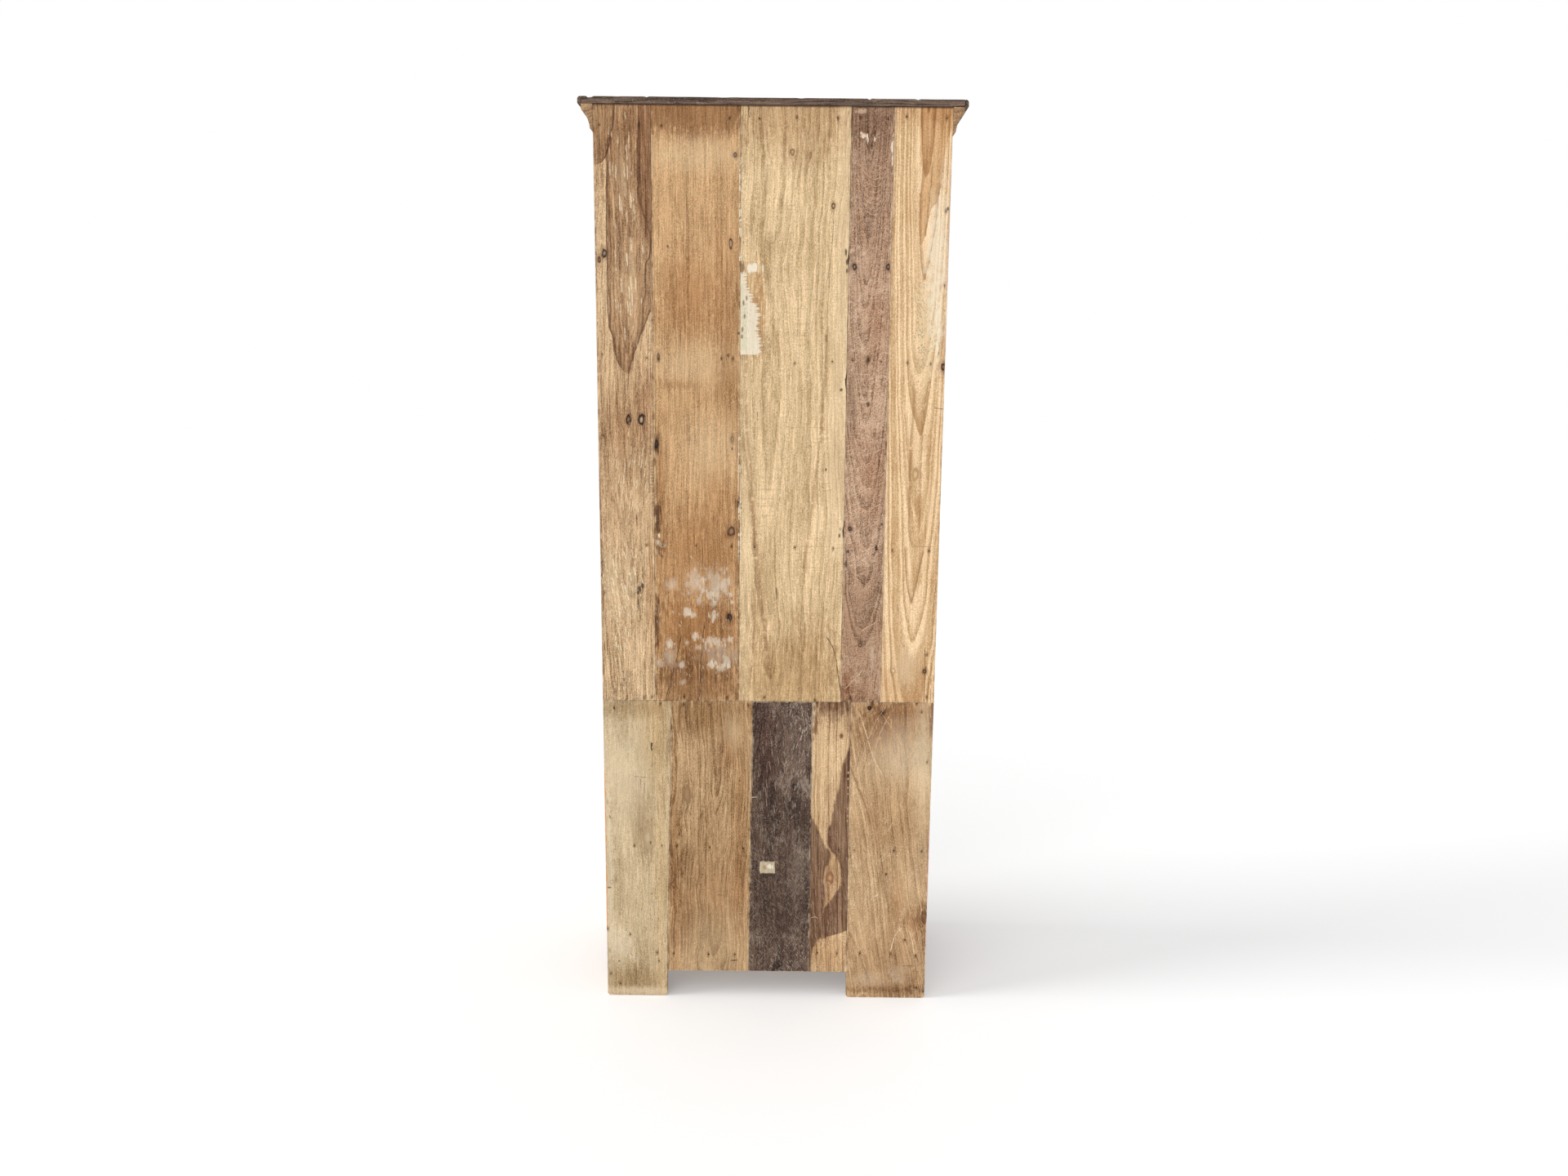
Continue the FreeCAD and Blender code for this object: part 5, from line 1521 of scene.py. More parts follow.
HEARTWOOD_BOARD = BackBoard(
    Wood((228, 198, 156), (146, 108, 70), 8.0, 0.4, 0.7, 1.0, 0.6, (-60.0, 60.0, 400.0),
         (0.02, 0.0), 9.0, seed=9.1),
    knots=(
        Knot(-167, 643, 3.4, 1.2, (70, 48, 36), (150, 106, 68), 0.3),
        Knot(-147, 300, 7.0, 1.6, (206, 168, 124), (160, 116, 82), 0.2),
    ),
    marks=(
        Zone(((-80, 663), (-80, 723)), ((-107, 663), (-109, 690), (-107, 723)), (250, 228, 196),
             0.4, 2.0, lay=Lay.COVER),
        Stain(-152, 734, 48, 46, (150, 130, 126), 1.0, 0.7, 0.9),
        Stain(-107, 668, 6, 34, (176, 152, 142), 0.85, 0.6, 1.8),
        Zone(((-181, 540), (-184, 610), (-178, 722)), ((-250, 540), (-250, 722)), (172, 148, 140),
             0.8, 5.0),
        Zone(((-127, 146), (-129, 200), (-150, 246), (-160, 262), (-172, 300), (-170, 330),
              (-162, 352), (-146, 370), (-137, 402), (-146, 435), (-154, 484), (-163, 517),
              (-168, 560), (-176, 592), (-196, 640)),
             ((-129, 146), (-150, 155), (-175, 163), (-196, 172), (-260, 180), (-260, 640)),
             (128, 104, 104), 1.0, 6.0),
        Zone(((-90, 58), (-90, 470)),
             ((-106, 58), (-106, 93), (-116, 138), (-128, 156), (-129, 200), (-136, 250),
              (-131, 304), (-143, 336), (-148, 354), (-136, 374), (-117, 418), (-92, 470)),
             (126, 102, 102), 1.0, 6.0),
        Stain(-150, 300, 24, 84, (214, 192, 178), 0.4, 0.7, 1.4),
        Stain(-130, 240, 34, 60, (216, 190, 184), 0.35, 0.9),
        Stain(-150, 110, 40, 40, (228, 204, 180), 0.5, 0.9),
        Hatch(-150, 230, 50, 190, (190, 160, 144), 0.5, 0.6, 2.4, pitch=4.0, length=16, slant=0.2,
              share=0.25),
        Line(((-118, 420), (-112, 480), (-116, 560), (-122, 640)), (214, 164, 110), 1.8, 0.5),
        Line(((-132, 420), (-130, 520), (-140, 620)), (214, 164, 110), 1.8, 0.4),
        Line(((-133, 250), (-131, 304), (-142, 345)), UMBER, 1.6, 0.7),
        Line(((-174, 300), (-172, 331), (-160, 352)), UMBER, 2.0, 0.7),
        Line(((-123, 188), (-114, 202), (-106, 201), (-101, 192)), (222, 196, 170), 1.2, 0.7,
             lies=True),
        *(Spot(-184.5, z, 1.5, 2.4, (214, 176, 130), 0.8, 0.4)
          for z in (556, 541, 520, 505, 470, 452, 440)),
        *pits(SOOT, (-172, 331, 2, 8)),
    ),
    sunk=0.8,
)

LONG_FOOT_BOARD = BackBoard(
    Wood((216, 184, 144), (128, 94, 56), 9.0, 0.3, 0.6, 0.75, 0.6, (-150.0, 30.0, 600.0),
         (0.13, 0.03), 18.0, 0.1, 0.0, ((20.0, 0.5, 0.5),), (244, 222, 186), 10.4),
    knots=(
        Knot(-229, 709, 4.0, 1.0, SOOT, PIPE, 0.5),
        Knot(-257, 697, 3.2, 1.3, (112, 88, 60), UMBER, 0.4),
        Knot(-370, 205, 7.0, 1.8, (176, 142, 106), (150, 116, 84), 0.2),
    ),
    marks=(
        Stain(-300, 706, 90, 18, (206, 178, 146), 0.6),
        Stain(-262, 676, 42, 42, (180, 156, 134), 0.7, 0.8, 2.4),
        Stain(-280, 660, 110, 64, (216, 198, 182), 0.8, 0.8),
        *(Line(((-200 - k, 560), (-216 - k, 620), (-232 - k, 668), (-262 - k, 718)), tint, 1.8,
               0.5, 0.2) for k, tint in ((0, BARK), (8, SAND), (18, BARK), (30, SAND))),
        *(Line(((-300 + k, 600), (-284 + k, 640), (-262 + k, 672), (-244 + k, 700)), tint, 1.6,
               0.45, 0.2) for k, tint in ((0, BARK), (-12, SAND), (-26, BARK))),
        Spot(-300, 600, 50, 60, (242, 222, 190), 0.3, 0.9, 1.4),
        Spot(-355, 560, 20, 160, (244, 224, 188), 0.35, 0.9),
        Stain(-372, 690, 6, 40, (140, 98, 80), 0.6, 0.6),
        Stain(-290, 40, 100, 30, (206, 182, 152), 0.5, 0.7),
        Stain(-300, 20, 90, 9, (170, 142, 116), 0.6, 0.7, 1.8),
        Spot(-250, 48, 40, 16, (240, 220, 190), 0.35, 0.8, 2.0),
        Spot(-310, 62, 20, 22, (244, 224, 196), 0.3, 0.8, 2.2),
        Stain(-350, 190, 26, 34, (206, 176, 146), 0.6, 0.9, 2.0),
        Stain(-370, 215, 10, 26, (176, 144, 116), 0.6, 0.9, 2.4),
        Stain(-304, 250, 16, 60, (210, 172, 130), 0.4, 0.9),
        Stain(-290, 440, 90, 80, (226, 204, 178), 0.4, 0.9),
        Stain(-290, 120, 90, 80, (226, 214, 204), 0.8, 0.9),
        Line(((-264, 548), (-241, 592), (-226, 640), (-206, 700)), (240, 212, 172), 2.0, 0.6, 0.1),
        Line(((-272, 540), (-250, 585), (-236, 640)), (180, 142, 104), 2.4, 0.5, 0.1),
        Line(((-240, 432), (-222, 490), (-202, 540), (-190, 570)), (156, 118, 84), 3.6, 0.55, 0.1,
             10),
        Line(((-236, 400), (-214, 480), (-196, 540)), (240, 210, 170), 2.2, 0.45, 0.2),
        Line(((-212, 330), (-206, 400), (-192, 470)), (172, 134, 96), 2.6, 0.45, 0.1),
        Line(((-226, 200), (-222, 330), (-208, 430)), (164, 126, 90), 2.4, 0.45, 0.2),
        Line(((-242, 160), (-238, 320), (-226, 420)), (168, 130, 94), 2.4, 0.4, 0.2),
        Line(((-292, 118), (-299, 150), (-312, 172), (-321, 178)), (246, 222, 190), 1.4, 0.7),
        Line(((-348, 112), (-341, 150), (-332, 172), (-321, 178)), (246, 222, 190), 1.4, 0.7),
        Line(((-232, 10), (-230, 30), (-228, 60), (-227, 118)), (66, 60, 48), 1.2, 0.6, 0.5),
        *strokes(SOOT, (-358, 92, -352, 112, 1.3, 0.7), (-336, 16, -330, 28, 1.4, 0.7)),
        Line(((-374.6, 240), (-374.2, 330), (-374, 420)), (222, 128, 140), 1.6, 0.85, 0.2),
        Line(((-374.6, 60), (-374.4, 130), (-374.4, 200)), (236, 196, 170), 1.8, 0.9, 0.2),
        *scores(SOOT, (-345, 82, -320, 82, 0.9, 0.6)),
        *pits(SOOT, (-277, 310, 2.4, 3), (-372, 17, 3, 3), (-354, 26, 3, 3)),
    ),
    sunk=0.6,
)

LOWER_BOARDS = (GREY_FOOT_BOARD, BROWN_BOARD, DARK_BOARD, HEARTWOOD_BOARD, LONG_FOOT_BOARD)

NAILS = (
    (361, 1958), (280, 1959), (232, 1958), (90, 1973), (28, 1973), (-50, 1976), (-135, 1976),
    (-182, 1977), (-240, 1975), (-278, 1980), (-362, 1978), (363, 1489), (267, 1483), (242, 1481),
    (107, 1483), (82, 1483), (-51, 1475), (-132, 1479), (-176, 1482), (-237, 1480), (-294, 1478),
    (-344, 1476), (272, 1076), (236, 1077), (162, 1077), (84, 1076), (33, 1074), (-56, 1075),
    (-141, 1074), (-238, 1072), (-272, 1070), (-353, 1070), (347, 743), (282, 729), (264, 730),
    (191, 731), (94, 731), (9, 732), (-105, 727), (-237, 725), (-336, 720.6), (-358, 737),
    (350, 703), (244, 715), (192, 714), (134, 714), (46, 713), (-262, 698), (-348, 701),
    (308, 374), (244, 375), (209, 375), (133, 372), (56, 370), (-166, 369), (-202, 369),
    (-293, 368), (-358, 368), (257, 109), (218, 107), (136, 106), (74, 106), (-120, 113),
    (-166, 111), (-220, 112), (-292, 111), (-352, 107), (363, 1316), (366, 969), (-366, 1792),
    (-368, 1640), (-356, 835), (-364, 583), (373, 168), (320, 154), (367, 55), (345, 30),
    (253, 88), (-325, 147),
)


@dataclass
class Worn:
    """How a squared piece is worn: its rounded edge, unevenness, their seed, and its nicks.

    Each notch in the rear top edge is given as its X, its depth and its half width.
    """

    edge: float = 1.2
    uneven: float = 0.25
    seed: float = 0.0
    nicked: float = 0.0
    notches: tuple[Place3, ...] = ()


def flutter(place: Vector, seed: float, scale: float) -> float:
    """Smooth noise from -1 to 1 at a place in metres, with waves scale metres long."""
    return noise.noise((place + Vector((seed * 3.7, seed * 1.3, seed * 2.1))) / scale)


def new_object(name: str, mesh: bpy.types.Mesh, material: bpy.types.Material) -> bpy.types.Object:
    """Links a mesh into the scene under one material.

    Args:
        name: The object's name.
        mesh: Its mesh, already in place.
        material: Its finish.

    Returns:
        The object.
    """
    made = bpy.data.objects.new(name, mesh)
    bpy.context.scene.collection.objects.link(made)
    made.data.materials.clear()
    made.data.materials.append(material)
    return made


def mesh_from(name: str, build: bmesh.types.BMesh, smooth_below: float = 0.0) -> bpy.types.Mesh:
    """Turns a finished build into a mesh.

    Args:
        name: The mesh's name.
        build: The build, which is freed.
        smooth_below: The angle in degrees under which edges shade smooth.

    Returns:
        The mesh.
    """
    for face in build.faces:
        face.smooth = smooth_below > 0
    if smooth_below:
        for edge in build.edges:
            edge.smooth = (len(edge.link_faces) == 2
                           and edge.calc_face_angle(math.pi) < math.radians(smooth_below))
    made = bpy.data.meshes.new(name)
    build.to_mesh(made)
    build.free()
    return made


SHARP = 32.0
GRID = 0.03
FINE_GRID = 0.011


def softened(node: bpy.types.Object, worn: Worn, smooth_below: float = 0.0) -> bpy.types.Mesh:
    """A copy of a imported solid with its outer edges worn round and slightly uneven.

    Args:
        node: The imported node.
        worn: How it is worn.
        smooth_below: The angle in degrees under which edges shade smooth.

    Returns:
        The new mesh.
    """
    build = bmesh.new()
    build.from_mesh(node.data)
    bmesh.ops.remove_doubles(build, verts=build.verts, dist=1e-6)
    bmesh.ops.dissolve_limit(build, angle_limit=math.radians(0.5), verts=build.verts,
                             edges=build.edges)
    sharp = [edge for edge in build.edges if len(edge.link_faces) == 2
             and edge.is_convex and edge.calc_face_angle(0.0) > math.radians(SHARP)]
    bmesh.ops.bevel(build, geom=sharp, offset=worn.edge * MM, segments=2, profile=0.5,
                    affect="EDGES", clamp_overlap=True)
    if worn.uneven:
        spacing = FINE_GRID if worn.nicked else GRID
        low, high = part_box(node.name)
        for axis in range(3):
            across = Vector([float(axis == i) for i in range(3)])
            steps = round((high[axis] - low[axis]) / spacing)
            for step in range(1, steps):
                place = low + (high - low) * ((step + 0.13) / steps)
                bmesh.ops.bisect_plane(build, geom=[*build.verts, *build.edges, *build.faces],
                                       dist=1e-5, plane_co=place, plane_no=across)
        for x in (middle + way * half for middle, _, half in worn.notches for way in (-1, 0, 1)):
            bmesh.ops.bisect_plane(build, geom=[*build.verts, *build.edges, *build.faces],
                                   dist=1e-5, plane_co=(x * MM, 0, 0), plane_no=(1, 0, 0))
        bmesh.ops.triangulate(build, faces=build.faces, quad_method="BEAUTY", ngon_method="BEAUTY")
        build.normal_update()
        for vert in build.verts:
            push = (flutter(vert.co, worn.seed, 0.045) - 1.0) * 0.5 * worn.uneven
            push -= max(0.0, flutter(vert.co, worn.seed + 5.0, 0.016) - 0.3) * worn.nicked
            at_rear_top = vert.co.z > high.z - 4 * MM and vert.co.y > high.y - 9 * MM
            vert.co += vert.normal * push * MM
            for middle, depth, half in worn.notches if at_rear_top else ():
                share = 1 - abs(vert.co.x / MM - middle) / half
                vert.co.z -= max(share, 0.0) * depth * MM
    return mesh_from(node.name + "_worn", build, smooth_below)


@dataclass
class Edge:
    """One straight side of a worn outline, from a corner to the next, with its inward side."""

    start: Vector
    end: Vector
    inward: Vector = field(init=False)

    def __post_init__(self) -> None:
        """Works out the inward side of an outline that runs anticlockwise."""
        run = (self.end - self.start).normalized()
        self.inward = Vector((-run.y, run.x))


OUTLINE_STEP = 9.0
CORNER_TURNS = (0.43, 0.0)
CORNER_RADIUS = 1.6


def round_off(corner: Vector, near: Vector, far: Vector, radius: float,
              turns: Iterable[float]) -> list[Vector]:
    """Points on the curve that rounds a corner.

    Args:
        corner: The sharp corner.
        near: The inward side of the edge the points are nearer to.
        far: The inward side of the other edge.
        radius: How round it is.
        turns: Each point's turn from the end of the curve, in radians.

    Returns:
        The points.
    """
    centre = corner + (near + far) * radius
    return [centre - (near * math.cos(turn) + far * math.sin(turn)) * radius for turn in turns]


def worn_outline(corners: Sequence[Vector], radii: Sequence[float], seed: float,
                 uneven: float, chips: Sequence[Chip]) -> list[Vector]:
    """An anticlockwise outline in millimetres with rounded corners, wavy edges and chips.

    Args:
        corners: The corners in order.
        radii: How round each corner is.
        seed: Makes each board's edges its own.
        uneven: How far the edges wander inwards.
        chips: For each chip, the side (-1 for lower X, 1 for higher), Z, depth and half length.

    Returns:
        The outline's points.
    """
    points: list[Vector] = []
    count = len(corners)
    edges = [Edge(corners[i], corners[(i + 1) % count]) for i in range(count)]
    for index, edge in enumerate(edges):
        length = (edge.end - edge.start).length
        run = (edge.end - edge.start) / length
        first, last = radii[index], radii[(index + 1) % count]
        before, after = edges[index - 1], edges[(index + 1) % count]
        points += (round_off(edge.start, edge.inward, before.inward, first, CORNER_TURNS)
                   if first else [edge.start.copy()])
        steps = max(int((length - first - last) / OUTLINE_STEP), 1)
        for number in range(1, steps):
            along = first + (length - first - last) * number / steps
            spot = edge.start + run * along
            deep = uneven * (0.5 + 0.5 * noise.noise(Vector((spot.x, spot.y, seed * 50)) / 23.0))
            deep += uneven * 0.5 * abs(noise.noise(Vector((spot.x, spot.y, seed * 70)) / 6.0))
            for side, height, depth, half in chips:
                if abs(run.y) > 0.9 and side * edge.inward.x < 0:
                    away = (spot.y - height) / half
                    rough = 0.65 + 0.35 * noise.noise(Vector((0, spot.y, seed * 9)) / 5.0)
                    deep += depth * rough * math.exp(-away * away * 2.2)
            points.append(spot + edge.inward * deep)
        if last:
            points += round_off(edge.end, edge.inward, after.inward, last, CORNER_TURNS[::-1])
    return points


def inset(points: Sequence[Vector], depth: Callable[[Vector], float]) -> list[Vector]:
    """Moves each point of an outline inwards by its own depth.

    Args:
        points: The outline's points, anticlockwise.
        depth: How far a point moves, in millimetres.

    Returns:
        The moved points.
    """
    moved = []
    for index, point in enumerate(points):
        run = points[(index + 1) % len(points)] - points[index - 1]
        inward = Vector((-run.y, run.x)).normalized()
        moved.append(point + inward * depth(point))
    return moved


def plank_mesh(name: str, outline: Sequence[Vector], front: float, rear: float,
               seed: float) -> bpy.types.Mesh:
    """A board with its outline seen from the front and its rear edges worn round.

    Args:
        name: The mesh's name.
        outline: Anticlockwise points of X and Z in millimetres.
        front: The front face's Y in millimetres.
        rear: The rear face's Y in millimetres.
        seed: Makes the worn edge its own.

    Returns:
        The closed mesh, in metres.
    """
    def wear(point: Vector) -> float:
        """The width of the worn edge at a point."""
        return 0.3 + 0.15 * noise.noise(Vector((point.x, point.y, seed * 31)) / 17.0)

    loops = [(outline, front), (outline, rear - 0.9),
             (inset(outline, lambda point: wear(point) * 0.35), rear - 0.3),
             (inset(outline, wear), rear)]
    build = bmesh.new()
    rings = [[build.verts.new((point.x * MM, y * MM, point.y * MM)) for point in points]
             for points, y in loops]
    build.faces.new(rings[0])
    build.faces.new(list(reversed(rings[-1])))
    for low, high in zip(rings, rings[1:]):
        for index in range(len(low)):
            following = (index + 1) % len(low)
            build.faces.new((low[index], high[index], high[following], low[following]))
    bmesh.ops.recalc_face_normals(build, faces=build.faces)
    return mesh_from(name, build)


@dataclass
class Back:
    """The boarded back: five upper and five lower boards, and the nails that hold them."""

    effects: Effects
    nodes: dict[str, bpy.types.Object]
    iron: bpy.types.Material
    front_y: float = 202.0
    rear_y: float = 217.0
    nail_depth: float = 1.1
    foot_radius: float = 7.0
    edge_reach: float = 20.0
    gap: float = 0.02
    edge_uneven: float = 0.18

    def levels(self, name: str) -> list[tuple[float, float, float]]:
        """Reads a packed board's outline.

        Args:
            name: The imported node.

        Returns:
            Each height that has corners, upwards, with the lowest and the highest X there.
        """
        found: dict[float, list[float]] = {}
        for vert in self.nodes[name].data.vertices:
            found.setdefault(round(vert.co.z / MM, 1), []).append(vert.co.x / MM)
        return [(z, min(found[z]), max(found[z])) for z in sorted(found)]

    def board(self, name: str, board: BackBoard, seed: float) -> bpy.types.Object:
        """Makes one board and its finish.

        Args:
            name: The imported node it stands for.
            board: How it looks.
            seed: Makes its edges its own.

        Returns:
            The finished piece.
        """
        levels = self.levels(name)
        foot, head = levels[0], levels[-1]
        corners, radii = [], []
        for side, way in ((2, 1), (1, -1)):
            for level in levels[::way]:
                z, x = level[0], level[side]
                share = (z - foot[0]) / (head[0] - foot[0])
                if abs(x - foot[side] - (head[side] - foot[side]) * share) < self.edge_reach:
                    corners.append(Vector((x - self.gap * way, z)))
                    radii.append(0.0 if level[1] == level[2]
                                 else CORNER_RADIUS if z else self.foot_radius)
        outline = worn_outline(corners, radii, seed, self.edge_uneven, board.chips)
        mesh = plank_mesh(name + "_old", outline, self.front_y, self.rear_y - board.sunk, seed)
        finish = WoodFinish(name + "_wood", self.effects, board.wood)
        finish.grow(board.knots)
        finish.joint(foot, head)
        finish.mark_all(board.marks)
        for x, z in NAILS:
            if foot[0] <= z <= head[0] and min(foot[1], head[1]) <= x <= max(foot[2], head[2]):
                finish.spot(Stain(x, z, 3.0, 5.5, NAIL_STAIN, 0.55, 0.7, 1.0))
        made = new_object(name + "_old", mesh, finish.finish())
        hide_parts(name)
        return made or made

    def nails(self) -> bpy.types.Object:
        """The nail heads, set with geometry nodes at the places where they were driven."""
        spots = [Vector((x * MM, (self.rear_y - self.nail_depth) * MM, z * MM)) for x, z in NAILS]
        return set_heads("back_nails", spots, Head(1.9, 0.9), self.iron, Facing.BACK, 5)

    def build(self) -> list[bpy.types.Object]:
        """Makes every board and the nails, all riding on the carcase.

        Returns:
            The finished pieces.
        """
        made = []
        for row, boards in (("upper", UPPER_BOARDS), ("lower", LOWER_BOARDS)):
            for number, board in enumerate(boards, start=1):
                made.append(self.board(f"back_{row}_board_{number}", board, number + len(row)))
        made.append(self.nails())
        for piece in made:
            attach(piece, "carcase")
        return made


class Facing(Enum):
    """Which way a nail head looks, as its turn from upright."""

    BACK = (-math.pi / 2, 0.0, 0.0)
    TO_RIGHT = (0.0, math.pi / 2, 0.0)
    TO_LEFT = (0.0, -math.pi / 2, 0.0)


@dataclass(frozen=True)
class Head:
    """A nail head's radius and height in millimetres."""

    radius: float
    height: float


HEAD_CORNERS = 10
HEAD_TAPER = 0.72
HEAD_TURNS = ((-0.06, -0.06, -3.1), (0.06, 0.06, 3.1))
HEAD_SIZES = (0.8, 1.15)


def set_heads(name: str, spots: Sequence[Vector], head: Head, iron: bpy.types.Material,
              facing: Facing, seed: int) -> bpy.types.Object:
    """Sets a nail head at each spot with geometry nodes.

    Args:
        name: The piece's name.
        spots: Where the heads' middles go, in metres.
        head: Their size.
        iron: Their finish.
        facing: Which way they look.
        seed: Makes their sizes and turns differ.

    Returns:
        One plain mesh object with every head.
    """
    tree = bpy.data.node_groups.new(name + "_heads", "GeometryNodeTree")
    face = tree.interface
    face.new_socket("Spots", in_out="INPUT", socket_type="NodeSocketGeometry")
    values = (("Head Radius", "Float", head.radius * MM),
              ("Head Height", "Float", head.height * MM),
              ("Seed", "Int", seed), ("Iron", "Material", iron))
    keys = [face.new_socket(label, in_out="INPUT", socket_type="NodeSocket" + kind).identifier
            for label, kind, _ in values]
    face.new_socket("Heads", in_out="OUTPUT", socket_type="NodeSocketGeometry")
    bench = Bench(tree)
    given = bench.node("NodeGroupInput")
    shape = bench.node("GeometryNodeMeshCone", {
        "Vertices": HEAD_CORNERS, "Radius Bottom": given["Head Radius"],
        "Radius Top": given["Head Radius"] * HEAD_TAPER, "Depth": given["Head Height"]})["Mesh"]
    spin = bench.node("FunctionNodeRandomValue", {
        0: HEAD_TURNS[0], 1: HEAD_TURNS[1], "Seed": given["Seed"]}, data_type="FLOAT_VECTOR")[0]
    growth = bench.node("FunctionNodeRandomValue", {
        2: HEAD_SIZES[0], 3: HEAD_SIZES[1], "Seed": given["Seed"]}, data_type="FLOAT")[1]
    turned = bench.node("FunctionNodeEulerToRotation", {0: spin})[0]
    turned = bench.node("FunctionNodeRotateRotation", {0: turned, 1: facing.value},
                        rotation_space="GLOBAL")[0]
    points = bench.node("GeometryNodeMeshToPoints", {"Mesh": given["Spots"]})["Points"]
    heads = bench.node("GeometryNodeInstanceOnPoints", {
        "Points": points, "Instance": shape, "Rotation": turned, "Scale": growth})["Instances"]
    heads = bench.node("GeometryNodeRealizeInstances", {"Geometry": heads})["Geometry"]
    heads = bench.node("GeometryNodeSetMaterial", {
        "Geometry": heads, "Material": given["Iron"]})["Geometry"]
    bench.node("NodeGroupOutput", {0: heads})
    source = bpy.data.meshes.new(name + "_spots")
    source.from_pydata([tuple(spot) for spot in spots], [], [])
    holder = bpy.data.objects.new(name + "_holder", source)
    bpy.context.scene.collection.objects.link(holder)
    setter = holder.modifiers.new("Heads", "NODES")
    setter.node_group = tree
    for key, (_, _, value) in zip(keys, values):
        setter[key] = value
    bpy.context.view_layer.update()
    graph = bpy.context.evaluated_depsgraph_get()
    mesh = bpy.data.meshes.new_from_object(holder.evaluated_get(graph), depsgraph=graph)
    holder.modifiers.clear()
    bpy.data.objects.remove(holder)
    return new_object(name, mesh, iron)


# Paint and bare wood of the rest

OLD_TEAK = Wood((182, 146, 108), (104, 76, 52), 6.0, 0.4, pith=(0.0, 50.0, 0.0), wander=14.0,
                flecks=0.3, scratches=((5.0, 0.48, 0.5),), scratch_tint=(206, 176, 136))
INNER_WOOD = Wood((214, 178, 134), (146, 110, 76), 7.0, 0.35, pith=(0.0, 70.0, 0.0), wander=16.0,
                  flecks=0.15, saw_marks=0.25)
GREY_WOOD = Wood((116, 95, 81), (46, 35, 29), 6.0, 0.45, 1.3, 1.4, 0.9, pith=(0.0, 60.0, 0.0),
                 wander=14.0, flecks=0.4, scratches=((86.0, 0.5, 0.5),),
                 scratch_tint=(176, 150, 128))
KNOB_WOOD = Wood((128, 90, 62), (62, 40, 28), 3.0, 0.4, pith=(0.0, 14.0, 0.0), wander=4.0)

OCHRE = Coat((188, 132, 82), (214, 196, 160), 0.56)
ROSE = Coat((166, 116, 108), (212, 196, 166), 0.56)
SAGE = Coat((116, 126, 108), (190, 180, 150), 0.58)
SLATE = Coat((76, 78, 70), (150, 140, 116), 0.60)
IVORY = Coat((206, 194, 164), (150, 156, 138), 0.58)
SEA = Coat((110, 130, 130), (206, 194, 160), 0.56)


INWARDS = (0.0, 1.0, 0.0)


@dataclass(frozen=True)
class Dress:
    """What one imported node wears: wood, grain, coat, its unpainted side and its wear.

    Nicked is how deep its edges are nicked, smooth the angle below which its faces shade as
    one, ridge how far inside its outline a raised panel's ridge runs, and notches are those of
    the rear top edge.
    """

    wood: Wood
    grain: Grain = Grain.UPRIGHT
    coat: Coat | None = None
    bare: Place3 | None = None
    edge: float = 1.3
    uneven: float = 0.3
    nicked: float = 0.0
    smooth: float = 20.0
    ridge: float = 0.0
    notches: tuple[Place3, ...] = ()


DARK_IRON = (58, 52, 48)
RUST = (104, 64, 42)
PITTED_IRON = (34, 30, 28)


class Iron:
    """Old dark iron with dull rust."""

    def __init__(self) -> None:
        """Builds the material."""
        self.material = bpy.data.materials.new("old_iron")
        bench = fresh(self.material)
        place = bench.sized(bench.node("ShaderNodeTexCoord")["Object"])
        rust = bench.noise(place, (0.22, 0.22, 0.22), 5.0, 0.65)
        pitting = bench.noise(place, (1.1, 1.1, 1.1), 3.0, 0.6)
        mask = bench.fade(rust, 0.48, 0.66)
        colour = bench.mix(mask, linear(DARK_IRON), linear(RUST))
        colour = bench.mix(bench.fade(pitting, 0.5, 0.75), colour, linear(PITTED_IRON))
        bench.surface({
            "Base Color": colour, "Metallic": bench.fade(mask, 0.0, 1.0, 0.85, 0.1),
            "Roughness": bench.fade(mask, 0.0, 1.0, 0.5, 0.85),
            "Normal": bench.bump(pitting, 0.6, 0.3)})


@dataclass
class Dresser:
    """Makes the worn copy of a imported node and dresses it."""

    effects: Effects
    nodes: dict[str, bpy.types.Object]
    made: int = 0

    def finish(self, name: str, dress: Dress) -> bpy.types.Material:
        """Makes the material of one node.

        Args:
            name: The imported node.
            dress: What it wears.

        Returns:
            The material, with a seed of its own.
        """
        low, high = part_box(name)
        self.made += 1
        seed = self.made * 1.37
        across = (low + high) / 2 / MM
        wood = dress.wood
        pith = {Grain.UPRIGHT: (across.x, across.y), Grain.ACROSS: (across.z, across.y),
                Grain.FRONT_TO_BACK: (across.x, -across.z)}[dress.grain]
        swing = 40.0 * math.sin(seed * 7.0)
        own = replace(wood, seed=seed, pith=(
            pith[0] + swing, WoodFinish.face_y - pith[1] + wood.pith[1], 0.0))
        finish = PaintedFinish(name + "_finish", self.effects, own, dress.grain)
        finish.grow()
        if dress.coat:
            finish.coat(replace(dress.coat, seed=seed), low, high, dress.bare, dress.ridge)
        return finish.finish(HANDLED if wood is KNOB_WOOD else DRY)

    def dress(self, name: str, body: str, slot: str, dress: Dress) -> bpy.types.Object:
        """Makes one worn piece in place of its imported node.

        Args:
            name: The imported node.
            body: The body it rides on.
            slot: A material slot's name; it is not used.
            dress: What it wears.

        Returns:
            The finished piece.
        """
        worn = Worn(dress.edge, dress.uneven, self.made * 0.77, dress.nicked, dress.notches)
        mesh = softened(self.nodes[name], worn, dress.smooth)
        made = new_object(name + "_old", mesh, self.finish(name, dress))
        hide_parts(name)
        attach(made, body)
        log.info("%s on %s: %d faces", made.name, body, len(mesh.polygons))
        return made


